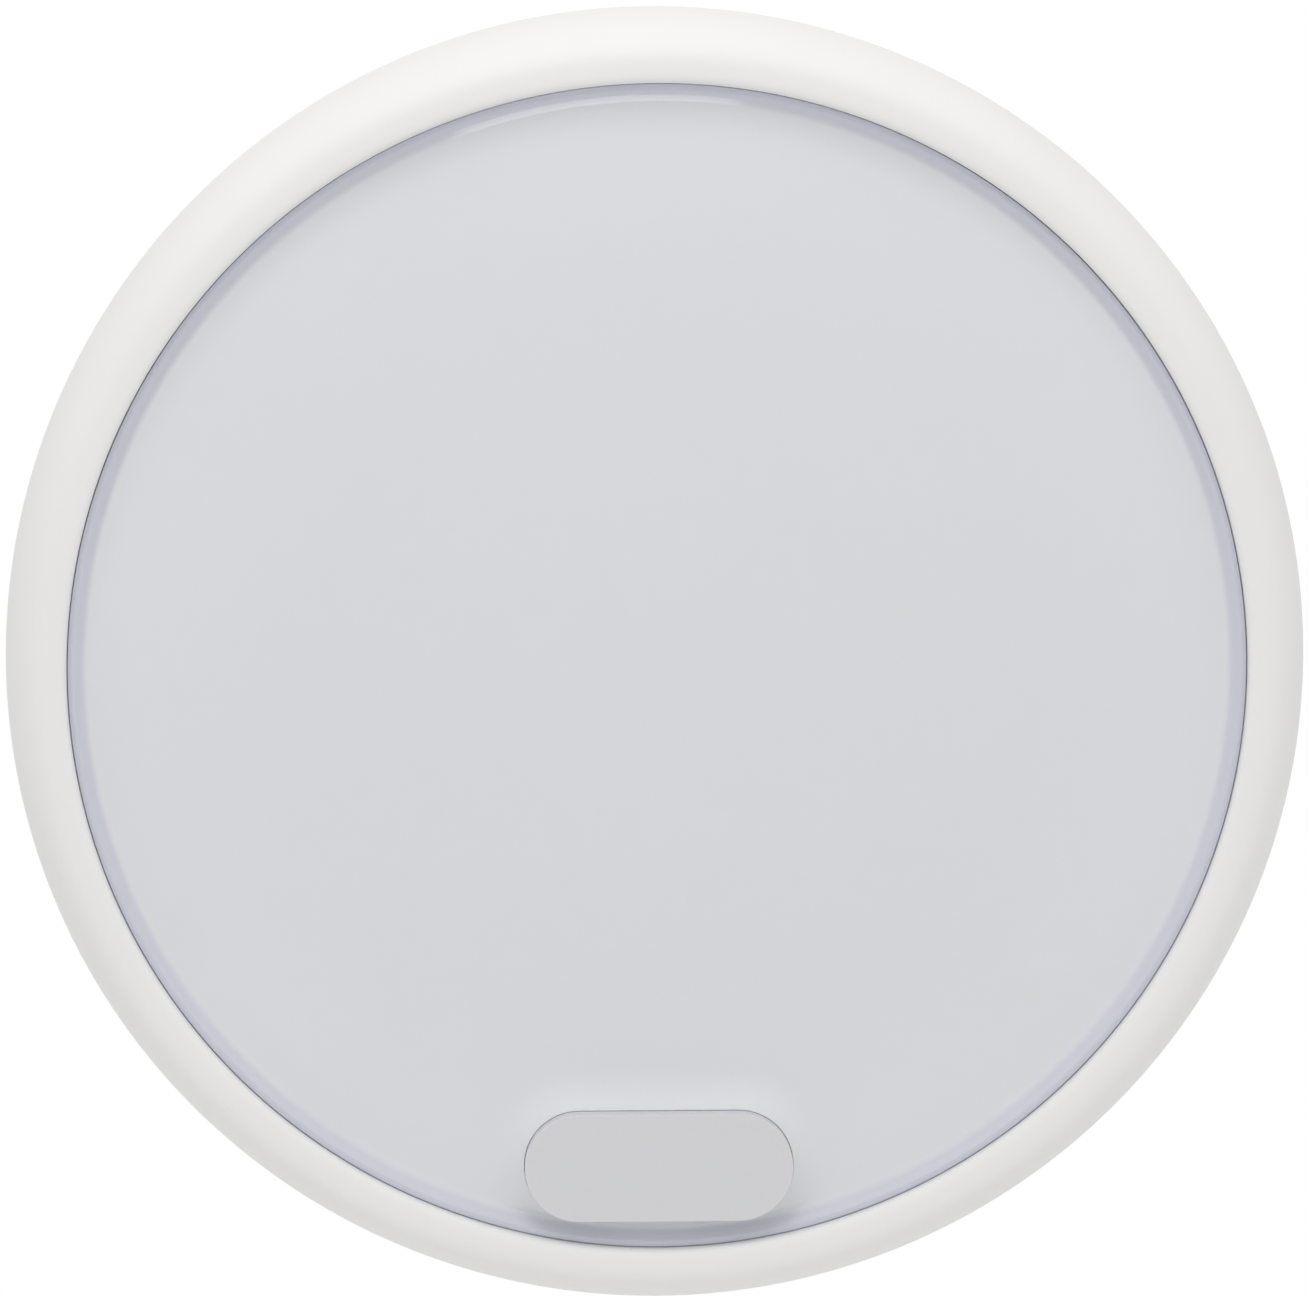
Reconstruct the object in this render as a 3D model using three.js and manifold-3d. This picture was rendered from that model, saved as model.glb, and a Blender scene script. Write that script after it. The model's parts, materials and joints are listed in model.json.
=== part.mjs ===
// Round wall thermostat: a wall base with six lever terminals, and a display unit that pulls off it.
// The domed front of the display unit presses in to click, inside a control ring that turns freely.
//
// Frame: millimetres, +X right, +Z up, the wall at y = 0 and the front facing -Y.
// Depths are distances out from the wall, so a depth d lies at y = -d.

import * as THREE from "three";
import { mergeVertices } from "three/addons/utils/BufferGeometryUtils.js";
import Module from "manifold-3d";

const wasm = await Module();
wasm.setup();

// ---------------------------------------------------------------- driving dimensions

const GAP = 0.3; // clearance between pieces that meet face to face
const ROUND = 36; // facets round the large turned pieces
const WELL_ROUND = 16; // facets round the middling holes, cups and rods
const SMALL_ROUND = 8; // facets round screws, posts and pins

// Control ring
const RING_RADIUS = 40.5;
const RING_BACK = 10.6;
const RING_WIDEST = 18.8; // depth of the widest circle
const RING_CREST = 26.4; // depth of the foremost circle
const RING_CREST_RADIUS = 37.6;
const RING_LIP_RADIUS = 36.2; // the opening that frames the lens
const RING_LIP_BACK = 24.6;
const RING_BORE = 38.6;

// Wall base
const BASE_RADIUS = 38.0;
const FLANGE_FRONT = 2.0;
const PUCK_RADIUS = 31.0;
const PUCK_WALL = 1.4;
const PUCK_FRONT = 8.0;
const COVER_BACK = PUCK_FRONT + GAP;
const COVER_FRONT = 9.6;
const WIRE_OPENING = { width: 19, height: 10.5, z: -13.25 };
const WALL_SCREW_Z = 25.5; // above and below the centre
const WELL_BORE = 4.1;
const BASE_SCREW = { x: 15.7, z: 20.1 };
const LEVEL = { z: 14.5, depth: 6.9, radius: 2.3, length: 17 };

// Terminals: three levers on each side of the base
const LEVER_PITCH = 9.5;
const LEVER_WIDTH = 7.0;
const LEVER_PIVOT = { x: 23.4, depth: 6.4 };
const AXLE_RADIUS = 0.75;
const BLOCK = { inner: 13.5, outer: 25.2, half: 14, back: 3.6, front: 7.7 };

// Connector between the base and the display unit
const PINS_PER_ROW = 10;
const PIN_PITCH = 2.0;
const PIN_ROW_Z = 2.0;
const SOCKET = { width: 22, height: 9, back: 3.6, front: 9.4 };

// Display unit
const HOUSING_BACK = 2.8;
const HOUSING_STEP = 9.6; // the ring covers the housing in front of this depth
const HOUSING_FRONT = 16.0;
const SLEEVE_RADIUS = 37.2; // the part of the housing inside the ring
const RECESS_RADIUS = PUCK_RADIUS + 0.6;
const RECESS_BACK = 10.2;
const RECESS_FRONT = 12.2;
const BOARD_BACK = 12.8;
const BOARD_FRONT = 13.8;
const CHASSIS_BACK = HOUSING_FRONT + GAP;
const CHASSIS_FRONT = 17.3;
const UNIT_SCREW_CIRCLE = 26;
const SPRING_CIRCLE = 31;
const GUIDE_CIRCLE = 32;
const USB_Z = -17;
const CLIP_WIDTH = 5.6;

// Pressing front
const HEAD_BACK = 18.3;
const HEAD_RADIUS = 35.9;
const HEAD_WALL_FRONT = 23.6;
const DIFFUSER_BACK = 23.9;
const DIFFUSER_FRONT = 24.6;
const LENS_RADIUS = 35.9;
const LENS_BACK = DIFFUSER_FRONT + GAP;
const LENS_APEX = 27.3; // the overall depth of the thermostat
const LENS_DOME = 1.1; // how far the dome falls to its edge
const LENS_DOME_RADIUS = 35.4;
const WINDOW = { width: 16.2, height: 6.3, z: -31, front: 26.6 }; // occupancy sensor's window
const SWELL = { spread: 2.2, rise: 0.9 }; // the diffuser's swelling round the window

// ---------------------------------------------------------------- shaping helpers

/** A closed three.js geometry as a solid that can be joined and cut. */
function solidOf(geometry) {
  const bare = geometry.index ? geometry.toNonIndexed() : geometry.clone();
  bare.deleteAttribute("normal");
  bare.deleteAttribute("uv");
  const merged = mergeVertices(bare, 1e-4);
  const mesh = new wasm.Mesh({
    numProp: 3,
    vertProperties: merged.attributes.position.array,
    triVerts: new Uint32Array(merged.index.array),
  });
  return new wasm.Manifold(mesh);
}

/** Points in a plane holding the axis, from [reach, depth] pairs, in the order a lathe needs. */
function sectionPoints(section) {
  const points = section.map(([reach, depth]) => new THREE.Vector2(reach, -depth));
  return THREE.ShapeUtils.area(points) < 0 ? points.reverse() : points;
}

/** A solid turned about the thermostat's axis, from its half section as [radius, depth] points. */
function turned(section, facets = ROUND) {
  const points = sectionPoints(section);
  if (points[0].x > 0 || points[points.length - 1].x > 0) points.push(points[0].clone());
  return solidOf(new THREE.LatheGeometry(points, facets));
}

/** An outline in the X-Z plane, extruded from one depth to another. */
function slab(outline, back, front, curveSegments = 2) {
  const settings = { depth: front - back, bevelEnabled: false, curveSegments };
  const geometry = new THREE.ExtrudeGeometry(outline, settings);
  geometry.rotateX(Math.PI / 2).translate(0, -back, 0);
  return solidOf(geometry);
}

/** A side profile of [x, depth] points, extruded along Z and centred on z = 0. */
function prism(profile, width) {
  const outline = new THREE.Shape(profile.map(([x, depth]) => new THREE.Vector2(x, -depth)));
  const geometry = new THREE.ExtrudeGeometry(outline, { depth: width, bevelEnabled: false });
  geometry.translate(0, 0, -width / 2);
  return solidOf(geometry);
}

/** A box from its X, depth and Z limits. */
function block([x0, x1], [back, front], [z0, z1]) {
  const geometry = new THREE.BoxGeometry(x1 - x0, front - back, z1 - z0);
  geometry.translate((x0 + x1) / 2, -(back + front) / 2, (z0 + z1) / 2);
  return solidOf(geometry);
}

/** A round post or hole along the thermostat's axis. */
function post(radius, back, front, x = 0, z = 0, facets = SMALL_ROUND) {
  const geometry = new THREE.CylinderGeometry(radius, radius, front - back, facets);
  geometry.translate(x, -(back + front) / 2, z);
  return solidOf(geometry);
}

/** A rod along X or Z at a depth. */
function rod(radius, length, axis, { x = 0, depth = 0, z = 0 }, facets = SMALL_ROUND) {
  const geometry = new THREE.CylinderGeometry(radius, radius, length, facets);
  if (axis === "x") geometry.rotateZ(Math.PI / 2);
  else geometry.rotateX(Math.PI / 2);
  geometry.translate(x, -depth, z);
  return solidOf(geometry);
}

/** A rectangle with rounded corners, centred on x, z. */
function roundedRectangle(width, height, corner, x = 0, z = 0) {
  const [w, h] = [width / 2, height / 2];
  const shape = new THREE.Shape();
  shape.moveTo(x - w + corner, z - h);
  shape.absarc(x + w - corner, z - h + corner, corner, -Math.PI / 2, 0);
  shape.absarc(x + w - corner, z + h - corner, corner, 0, Math.PI / 2);
  shape.absarc(x - w + corner, z + h - corner, corner, Math.PI / 2, Math.PI);
  shape.absarc(x - w + corner, z - h + corner, corner, Math.PI, 1.5 * Math.PI);
  return shape;
}

/** The window's capsule outline, grown all round by a margin. */
function windowOutline(margin) {
  const [width, height] = [WINDOW.width + 2 * margin, WINDOW.height + 2 * margin];
  return roundedRectangle(width, height, height / 2 - 0.01, 0, WINDOW.z);
}

const joined = (...solids) => solids.reduce((whole, next) => whole.add(next));
const without = (solid, ...cuts) => cuts.reduce((whole, cut) => whole.subtract(cut), solid);

/** Points on a circle about the axis, as [x, z], at angles in degrees from +X. */
function aroundAxis(radius, degrees) {
  return degrees.map((angle) => {
    const turn = THREE.MathUtils.degToRad(angle);
    return [radius * Math.cos(turn), radius * Math.sin(turn)];
  });
}

const UNIT_SCREWS = aroundAxis(UNIT_SCREW_CIRCLE, [30, 150, 270]);
const SPRINGS = aroundAxis(SPRING_CIRCLE, [90, 210, 330]);
const GUIDES = aroundAxis(GUIDE_CIRCLE, [30, 150, 270]);
const BASE_SCREWS = [
  [BASE_SCREW.x, BASE_SCREW.z],
  [-BASE_SCREW.x, BASE_SCREW.z],
  [-BASE_SCREW.x, -BASE_SCREW.z],
  [BASE_SCREW.x, -BASE_SCREW.z],
];

// ---------------------------------------------------------------- finishes

const FINISH = {
  whiteShell: { color: 0xf0f0ee, roughness: 0.42 },
  whiteSatin: { color: 0xe6e6e4, roughness: 0.55 },
  clearLens: { color: 0xe4e8ee, roughness: 0.06 },
  frostedGrey: { color: 0xd2d3d6, roughness: 0.6 },
  windowWhite: { color: 0xd6d6d8, roughness: 0.5 },
  darkPlastic: { color: 0x26272a, roughness: 0.55 },
  slipPlastic: { color: 0xdcdcd6, roughness: 0.35 },
  circuitBoard: { color: 0x1d4a33, roughness: 0.5 },
  steel: { color: 0xb9bcc0, roughness: 0.3, metalness: 1 },
  brass: { color: 0xc9a24d, roughness: 0.3, metalness: 1 },
  batteryFoil: { color: 0xa9adb2, roughness: 0.45, metalness: 0.6 },
  displayGlass: { color: 0x0f1113, roughness: 0.1 },
  lightGuide: { color: 0xf4f6f8, roughness: 0.25 },
  levelFluid: { color: 0xb9e03c, roughness: 0.1 },
};

/** Adds a solid to a group as one named mesh with its own material. */
function addPiece(group, name, solid, finish) {
  const made = solid.getMesh();
  const geometry = new THREE.BufferGeometry();
  geometry.setAttribute("position", new THREE.BufferAttribute(made.vertProperties, 3));
  geometry.setIndex(new THREE.BufferAttribute(made.triVerts, 1));
  geometry.computeVertexNormals();
  const mesh = new THREE.Mesh(geometry, new THREE.MeshStandardMaterial(FINISH[finish]));
  mesh.name = name;
  group.add(mesh);
  return mesh;
}

// ---------------------------------------------------------------- wall base

/** Flange, puck wall, screw wells, cover bosses and the level's two saddles, in one moulding. */
function basePlate() {
  const inside = PUCK_RADIUS - PUCK_WALL;
  const moulding = turned([
    [0, 0],
    [BASE_RADIUS - 0.8, 0],
    [BASE_RADIUS, 0.6],
    [BASE_RADIUS, FLANGE_FRONT - 0.3],
    [BASE_RADIUS - 0.3, FLANGE_FRONT],
    [PUCK_RADIUS, FLANGE_FRONT],
    [PUCK_RADIUS, PUCK_FRONT],
    [inside, PUCK_FRONT],
    [inside, FLANGE_FRONT],
    [0, FLANGE_FRONT],
  ]);
  const root = FLANGE_FRONT - 0.5; // where the posts merge into the flange
  const wells = [1, -1].map((side) => post(WELL_BORE + 0.7, root, PUCK_FRONT, 0, side * WALL_SCREW_Z, WELL_ROUND));
  const bosses = BASE_SCREWS.map(([x, z]) => post(2.3, root, PUCK_FRONT, x, z));
  const saddles = [1, -1].map((side) =>
    block([side * 6.5 - 1, side * 6.5 + 1], [root, 6], [LEVEL.z - 3, LEVEL.z + 3]),
  );
  const wellBores = [1, -1].map((side) => post(WELL_BORE, FLANGE_FRONT, 10, 0, side * WALL_SCREW_Z, WELL_ROUND));
  const slots = [1, -1].map((side) =>
    slab(roundedRectangle(7.4, 4.4, 2.19, 0, side * WALL_SCREW_Z), -1, 5, 3),
  );
  const screwBores = BASE_SCREWS.map(([x, z]) => post(1.15, 3.2, 10, x, z));
  const wires = slab(roundedRectangle(WIRE_OPENING.width, WIRE_OPENING.height, 3, 0, WIRE_OPENING.z), -1, 5);
  const levelBed = rod(LEVEL.radius + GAP, LEVEL.length + 2, "x", LEVEL, WELL_ROUND);
  const clipDimples = [1, -1].map((side) =>
    block(side > 0 ? [30.4, 32] : [-32, -30.4], [4.4, 7.2], [-3.4, 3.4]),
  );
  return without(
    joined(moulding, ...wells, ...bosses, ...saddles),
    ...wellBores,
    ...slots,
    ...screwBores,
    wires,
    levelBed,
    ...clipDimples,
  );
}

/** The puck's front, open over the levers, socket, level, wires and wall screws. */
function baseCover() {
  const disc = turned([
    [0, COVER_BACK],
    [PUCK_RADIUS, COVER_BACK],
    [PUCK_RADIUS, COVER_FRONT - 0.5],
    [PUCK_RADIUS - 0.5, COVER_FRONT],
    [0, COVER_FRONT],
  ]);
  const through = (outline) => slab(outline, COVER_BACK - 1, COVER_FRONT + 1);
  const leverSlots = [1, -1].flatMap((side) =>
    [-1, 0, 1].map((row) => through(roundedRectangle(7.1, LEVER_WIDTH + 0.6, 0.6, side * 18.35, row * LEVER_PITCH))),
  );
  const screwSeats = BASE_SCREWS.flatMap(([x, z]) => [
    post(1.3, COVER_BACK - 1, COVER_FRONT + 1, x, z),
    post(2.4, COVER_BACK + 0.4, COVER_FRONT + 1, x, z),
  ]);
  return without(
    disc,
    through(roundedRectangle(SOCKET.width + 2 * GAP, SOCKET.height + 2 * GAP, 0.8)),
    through(roundedRectangle(WIRE_OPENING.width, WIRE_OPENING.height, 3, 0, WIRE_OPENING.z)),
    through(roundedRectangle(LEVEL.length + 2 * GAP, 2 * LEVEL.radius + 2 * GAP, 0.8, 0, LEVEL.z)),
    post(WELL_BORE + GAP, COVER_BACK - 1, COVER_FRONT + 1, 0, WALL_SCREW_Z, WELL_ROUND),
    post(WELL_BORE + GAP, COVER_BACK - 1, COVER_FRONT + 1, 0, -WALL_SCREW_Z, WELL_ROUND),
    ...leverSlots,
    ...screwSeats,
  );
}

/** Circuit board under the terminals, notched for the wires and the level. */
function baseBoard() {
  const [back, front] = [FLANGE_FRONT + GAP, FLANGE_FRONT + GAP + 1];
  return without(
    slab(roundedRectangle(50, 27, 2), back, front),
    block([-10.3, 10.3], [back - 1, front + 1], [-20, -7.4]),
    block([-9.5, 9.5], [back - 1, front + 1], [10.9, 20]),
  );
}

/** Connector positions along X. */
const PIN_X = Array.from({ length: PINS_PER_ROW }, (_, i) => (i - (PINS_PER_ROW - 1) / 2) * PIN_PITCH);

/** Female half of the connector, with two rows of square holes. */
function socketBlock() {
  const hole = 0.65; // half the width of a hole
  const holes = [1, -1].flatMap((row) =>
    PIN_X.map((x) =>
      block(
        [x - hole, x + hole],
        [SOCKET.back + 0.6, SOCKET.front + 1],
        [row * PIN_ROW_Z - hole, row * PIN_ROW_Z + hole],
      ),
    ),
  );
  return without(slab(roundedRectangle(SOCKET.width, SOCKET.height, 0.8), SOCKET.back, SOCKET.front), ...holes);
}

/** Right-hand terminal block: three lever pockets with a wire hole each, and the axle's bore. */
function terminalBlock() {
  const body = block([BLOCK.inner, BLOCK.outer], [BLOCK.back, BLOCK.front], [-BLOCK.half, BLOCK.half]);
  const cuts = [-1, 0, 1].flatMap((row) => {
    const z = row * LEVER_PITCH;
    return [
      block([BLOCK.inner + 1.8, BLOCK.outer + 1], [BLOCK.back + 0.6, BLOCK.front + 1], [z - 3.9, z + 3.9]),
      rod(1.0, 4, "x", { x: BLOCK.inner, depth: 5.7, z }),
    ];
  });
  const axleBore = rod(AXLE_RADIUS + GAP, 30, "z", LEVER_PIVOT);
  return without(body, ...cuts, axleBore);
}

/** Right-hand lever, whose inner end goes towards the wall when pressed. */
function terminalLever() {
  const profile = [
    [25.0, 6.0],
    [25.0, 7.2],
    [24.2, 7.7],
    [21.5, 7.8],
    [21.5, 9.6],
    [21.2, 9.9],
    [18.6, 9.6],
    [16.0, 9.9],
    [15.7, 9.6],
    [15.7, 6.6],
    [21.9, 6.6],
    [22.4, 5.3],
    [24.2, 5.3],
  ];
  return without(prism(profile, LEVER_WIDTH), rod(AXLE_RADIUS + GAP, 20, "z", LEVER_PIVOT));
}

/** Plated strip that the lever clamps a wire against. */
function terminalContact() {
  const profile = [
    [15.6, 4.5],
    [21.6, 4.5],
    [21.6, 4.8],
    [15.9, 4.8],
    [15.9, 4.95],
    [15.6, 4.95],
  ];
  return prism(profile, 4.8);
}

/** Clear tube of the bubble level, bored from its left end. */
function levelVial() {
  const tube = rod(LEVEL.radius, LEVEL.length, "x", LEVEL, WELL_ROUND);
  return without(tube, rod(1.7, LEVEL.length, "x", { ...LEVEL, x: -0.8 }, WELL_ROUND));
}

const levelFluid = () => rod(1.4, LEVEL.length - 2.4, "x", LEVEL, WELL_ROUND);

/** A screw on the axis: a domed head whose top is at the given depth, and a shank behind or before it. */
function screw({ headRadius, headBack, headFront, shankRadius, tip, facets = SMALL_ROUND }) {
  const headIsInFront = tip < headBack;
  const [seat, top] = headIsInFront ? [headBack, headFront] : [headFront, headBack];
  const edge = (seat + top) / 2;
  return turned(
    [
      [0, tip],
      [shankRadius, tip],
      [shankRadius, seat],
      [headRadius, seat],
      [headRadius, edge],
      [headRadius * 0.7, top],
      [0, top],
    ],
    facets,
  );
}

// ---------------------------------------------------------------- display unit

/** Rear shell: an outer wall, a recess that fits over the puck, and a sleeve inside the ring. */
function rearHousing() {
  const recessWall = RECESS_RADIUS + 1.4;
  const outerInside = BASE_RADIUS - 1.6;
  const sleeveInside = SLEEVE_RADIUS - 1.3;
  const shell = turned([
    [0, RECESS_BACK],
    [RECESS_RADIUS, RECESS_BACK],
    [RECESS_RADIUS, HOUSING_BACK + 0.4],
    [RECESS_RADIUS + 0.4, HOUSING_BACK],
    [BASE_RADIUS - 0.6, HOUSING_BACK],
    [BASE_RADIUS, HOUSING_BACK + 0.6],
    [BASE_RADIUS, HOUSING_STEP - 0.3],
    [BASE_RADIUS - 0.3, HOUSING_STEP],
    [SLEEVE_RADIUS, HOUSING_STEP],
    [SLEEVE_RADIUS, HOUSING_FRONT],
    [sleeveInside, HOUSING_FRONT],
    [sleeveInside, HOUSING_STEP + 1.2],
    [outerInside, HOUSING_STEP + 0.8],
    [outerInside, HOUSING_BACK + 1.6],
    [recessWall, HOUSING_BACK + 1.6],
    [recessWall, RECESS_FRONT],
    [0, RECESS_FRONT],
  ]);
  const [behind, ahead] = [RECESS_BACK - 1, RECESS_FRONT + 1];
  const screwSeats = UNIT_SCREWS.flatMap(([x, z]) => [
    post(1.4, behind, ahead, x, z),
    post(2.7, behind, RECESS_BACK + 1.1, x, z),
  ]);
  const clipWindows = [
    block([31, 33.2], [4.8, 8.8], [-3.3, 3.3]),
    block([-33.2, -31], [4.8, 8.8], [-3.3, 3.3]),
  ];
  const vents = [1, -1].flatMap((side) =>
    [-6, -3, 0, 3, 6].map((x) =>
      block([x - 0.6, x + 0.6], [HOUSING_BACK - 1, HOUSING_BACK + 1.7], [side * 34.7 - 1.1, side * 34.7 + 1.1]),
    ),
  );
  return without(
    shell,
    slab(roundedRectangle(23.2, 10.2, 0.8), behind, ahead),
    slab(roundedRectangle(8.6, 3.8, 0.8, 0, USB_Z), behind, ahead),
    block([35, 38], [13.6, HOUSING_FRONT + 1], [-3.2, 3.2]),
    ...screwSeats,
    ...clipWindows,
    ...vents,
  );
}

/** Male half of the connector, slotted for the two rows of pins. */
function plugBlock() {
  const slot = (row) => block([-10.1, 10.1], [9, 14], [row * PIN_ROW_Z - 0.6, row * PIN_ROW_Z + 0.6]);
  return without(slab(roundedRectangle(22.6, 9.6, 0.8), 10, 12.5), slot(1), slot(-1));
}

/** One row of pins on its lead frame. */
function plugPins(row) {
  const z = row * PIN_ROW_Z;
  const frame = block([-9.7, 9.7], [11.2, 12.4], [z - 0.3, z + 0.3]);
  return joined(frame, ...PIN_X.map((x) => block([x - 0.35, x + 0.35], [5.2, 11.5], [z - 0.3, z + 0.3])));
}

/** Micro charging socket: a pressed shell with a tongue inside it. */
function usbSocket() {
  const shell = slab(roundedRectangle(8, 3.2, 0.6, 0, USB_Z), 10.4, 12.5);
  const mouth = slab(roundedRectangle(7.2, 2.4, 0.5, 0, USB_Z), 10, 12);
  return joined(without(shell, mouth), block([-2.5, 2.5], [10.8, 12.1], [USB_Z - 0.35, USB_Z + 0.35]));
}

const BATTERY = { width: 32.4, height: 21.6, z: 16 };

/** Round main board with a cut-out for the battery and holes for the screws. */
function mainBoard() {
  const cuts = UNIT_SCREWS.map(([x, z]) => post(1.5, 12, 15, x, z));
  const bay = slab(roundedRectangle(BATTERY.width + 0.8, BATTERY.height + 0.8, 2, 0, BATTERY.z), 12, 15);
  return without(post(35.5, BOARD_BACK, BOARD_FRONT, 0, 0, ROUND), bay, ...cuts);
}

const battery = () => slab(roundedRectangle(BATTERY.width, BATTERY.height, 2, 0, BATTERY.z), 12.5, 15.9);

const switchBody = () =>
  without(slab(roundedRectangle(6.2, 6.2, 0.6), 14.1, 17.1), post(2.0, 15.5, 18, 0, 0, WELL_ROUND));

/** Plate that closes the housing, with spring cups, screw bosses and guide pins for the front. */
function coreChassis() {
  const plate = post(37.0, CHASSIS_BACK, CHASSIS_FRONT, 0, 0, ROUND);
  const cups = SPRINGS.map(([x, z]) => post(2.7, 14.4, CHASSIS_FRONT, x, z, 12));
  const bosses = UNIT_SCREWS.map(([x, z]) => post(2.3, 14.1, CHASSIS_FRONT, x, z));
  const pins = GUIDES.map(([x, z]) => post(1.4, CHASSIS_BACK, 19.5, x, z));
  return without(
    joined(plate, ...cups, ...bosses, ...pins),
    ...SPRINGS.map(([x, z]) => post(2.1, 15, 18, x, z, 12)),
    ...UNIT_SCREWS.map(([x, z]) => post(1.2, 13, 16.6, x, z)),
    slab(roundedRectangle(7, 7, 0.8), 16, 18),
    slab(roundedRectangle(16, 3, 1.4, 0, 8.5), 16, 18),
  );
}

/** Helix of a compression spring, rising along the thermostat's axis. */
class SpringWire extends THREE.Curve {
  constructor(radius, back, front, turns) {
    super();
    Object.assign(this, { radius, back, front, turns });
  }
  getPoint(t, target = new THREE.Vector3()) {
    const angle = 2 * Math.PI * this.turns * t;
    const depth = this.back + (this.front - this.back) * t;
    return target.set(this.radius * Math.cos(angle), -depth, this.radius * Math.sin(angle));
  }
}

function pressSpring() {
  const wire = new THREE.Shape().absarc(0, 0, 0.25, 0, 2 * Math.PI);
  const extrudePath = new SpringWire(1.5, 15.6, 17.75, 3);
  return solidOf(new THREE.ExtrudeGeometry(wire, { steps: 30, curveSegments: 3, extrudePath }));
}

/** Right-hand spring clip, whose nose bears on the side of the puck. */
function retainingClip() {
  const nose = PUCK_RADIUS + GAP;
  const profile = [
    [33.3, 9.4],
    [33.7, 9.4],
    [33.7, 4.8],
    [33.3, 4.8],
    [33.3, 5.4],
    [nose, 6.5],
    [nose, 7.1],
    [33.3, 8.2],
  ];
  return prism(profile, CLIP_WIDTH);
}

// ---------------------------------------------------------------- pressing front

/** Tray that carries the display, the lens and the ring's bearing. */
function headFrame() {
  const tray = turned([
    [0, HEAD_BACK],
    [HEAD_RADIUS, HEAD_BACK],
    [HEAD_RADIUS, HEAD_WALL_FRONT],
    [HEAD_RADIUS - 1.2, HEAD_WALL_FRONT],
    [HEAD_RADIUS - 1.2, HEAD_BACK + 1],
    [0, HEAD_BACK + 1],
  ]);
  const guideHoles = GUIDES.map(([x, z]) => post(1.75, 18, 20, x, z));
  return without(tray, slab(roundedRectangle(16, 3, 1.4, 0, 8.5), 18, 20), ...guideHoles);
}

function displayBoard() {
  const guideHoles = GUIDES.map(([x, z]) => post(2, 19, 21, x, z));
  return without(post(34.2, 19.8, 20.5, 0, 0, ROUND), ...guideHoles);
}

/** Round display glass with a flat ledge below for its driver. */
function displayPanel() {
  const glass = post(23.8, 22, 23.5, 0, 0, ROUND);
  return without(glass, block([-30, 30], [22.8, 24], [-30, -20.5]));
}

/** The swelling of the diffuser round the window, grown all round by a margin. */
function windowSwelling(margin) {
  const reach = WINDOW.height / 2 + GAP + margin;
  const [foot, top] = [DIFFUSER_FRONT - 0.3, DIFFUSER_FRONT + SWELL.rise + margin];
  const section = [
    [0, foot],
    [reach + SWELL.spread, foot],
    [reach + SWELL.spread, DIFFUSER_FRONT + margin],
    [reach + SWELL.spread * 0.4, DIFFUSER_FRONT + SWELL.rise * 0.3 + margin],
    [reach + 0.5, top],
    [0, top],
  ];
  const straight = WINDOW.width - WINDOW.height;
  const points = sectionPoints(section);
  const ends = [-0.5, 0.5].map((side) => {
    const geometry = new THREE.LatheGeometry(points, 16);
    return solidOf(geometry.translate(side * straight, 0, WINDOW.z));
  });
  const mirrored = [...points, ...points.map(({ x, y }) => new THREE.Vector2(-x, y)).reverse()];
  const outline = new THREE.Shape(mirrored.filter(({ x }, i) => x !== 0 || i < points.length));
  const middle = new THREE.ExtrudeGeometry(outline, { depth: straight, bevelEnabled: false });
  middle.rotateY(Math.PI / 2).translate(-straight / 2, 0, WINDOW.z);
  return joined(...ends, solidOf(middle));
}

/** Frosted dish behind the lens, with a raised rim and the swelling round the window. */
function diffuser() {
  const dish = turned([
    [0, DIFFUSER_BACK],
    [35.6, DIFFUSER_BACK],
    [35.6, 25.4],
    [35.3, 25.4],
    [34.9, 24.9],
    [34.3, DIFFUSER_FRONT],
    [0, DIFFUSER_FRONT],
  ]);
  const swelling = windowSwelling(0).intersect(post(35.2, DIFFUSER_FRONT - 0.3, 27, 0, 0, ROUND));
  return without(joined(dish, swelling), slab(windowOutline(GAP), 20, 30, 6));
}

/** Depth of the lens's domed front at a radius. */
const domeDepth = (radius) => LENS_APEX - LENS_DOME * (radius / LENS_DOME_RADIUS) ** 2;

/** Clear domed lens, hollowed over the diffuser's rim and swelling, with the window's opening. */
function frontLens() {
  const dome = [LENS_DOME_RADIUS, 27, 15].map((radius) => [radius, domeDepth(radius)]);
  const body = turned([
    [0, LENS_BACK],
    [34.0, LENS_BACK],
    [34.6, 25.2],
    [35.0, 25.7],
    [LENS_RADIUS, 25.7],
    [LENS_RADIUS, 25.9],
    [LENS_RADIUS - 0.15, 26.08],
    ...dome,
    [0, LENS_APEX],
  ]);
  return without(body, windowSwelling(GAP), slab(windowOutline(GAP), 20, 30, 6));
}

/** Capsule-shaped infrared window, hollow behind its thin face. */
function occupancyWindow() {
  const body = slab(windowOutline(0), 24, WINDOW.front, 6);
  return without(body, slab(windowOutline(-1), 23, WINDOW.front - 0.8, 6));
}

/** Metal can of the occupancy sensor, with its flange. */
function occupancySensor() {
  return joined(post(4.0, 20.8, 21.3, 0, -29.4, WELL_ROUND), post(3.6, 21.2, 23.3, 0, -29.4, WELL_ROUND));
}

// ---------------------------------------------------------------- control ring

/** The ring's outer skin from its back edge to its crest, as [radius, depth] points. */
function ringSkin() {
  const back = [
    [RING_BORE, RING_BACK],
    [39.3, RING_BACK],
    [39.7, RING_BACK + 0.5],
    [40.2, 14.2],
  ];
  const power = 2.25; // superellipse, a little squarer than an ellipse
  const steps = 5;
  const front = Array.from({ length: steps + 1 }, (_, i) => {
    const turn = (i / steps) * (Math.PI / 2);
    const radius = RING_CREST_RADIUS + (RING_RADIUS - RING_CREST_RADIUS) * Math.cos(turn) ** (2 / power);
    const depth = RING_WIDEST + (RING_CREST - RING_WIDEST) * Math.sin(turn) ** (2 / power);
    return [radius, depth];
  });
  return [...back, ...front];
}

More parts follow.
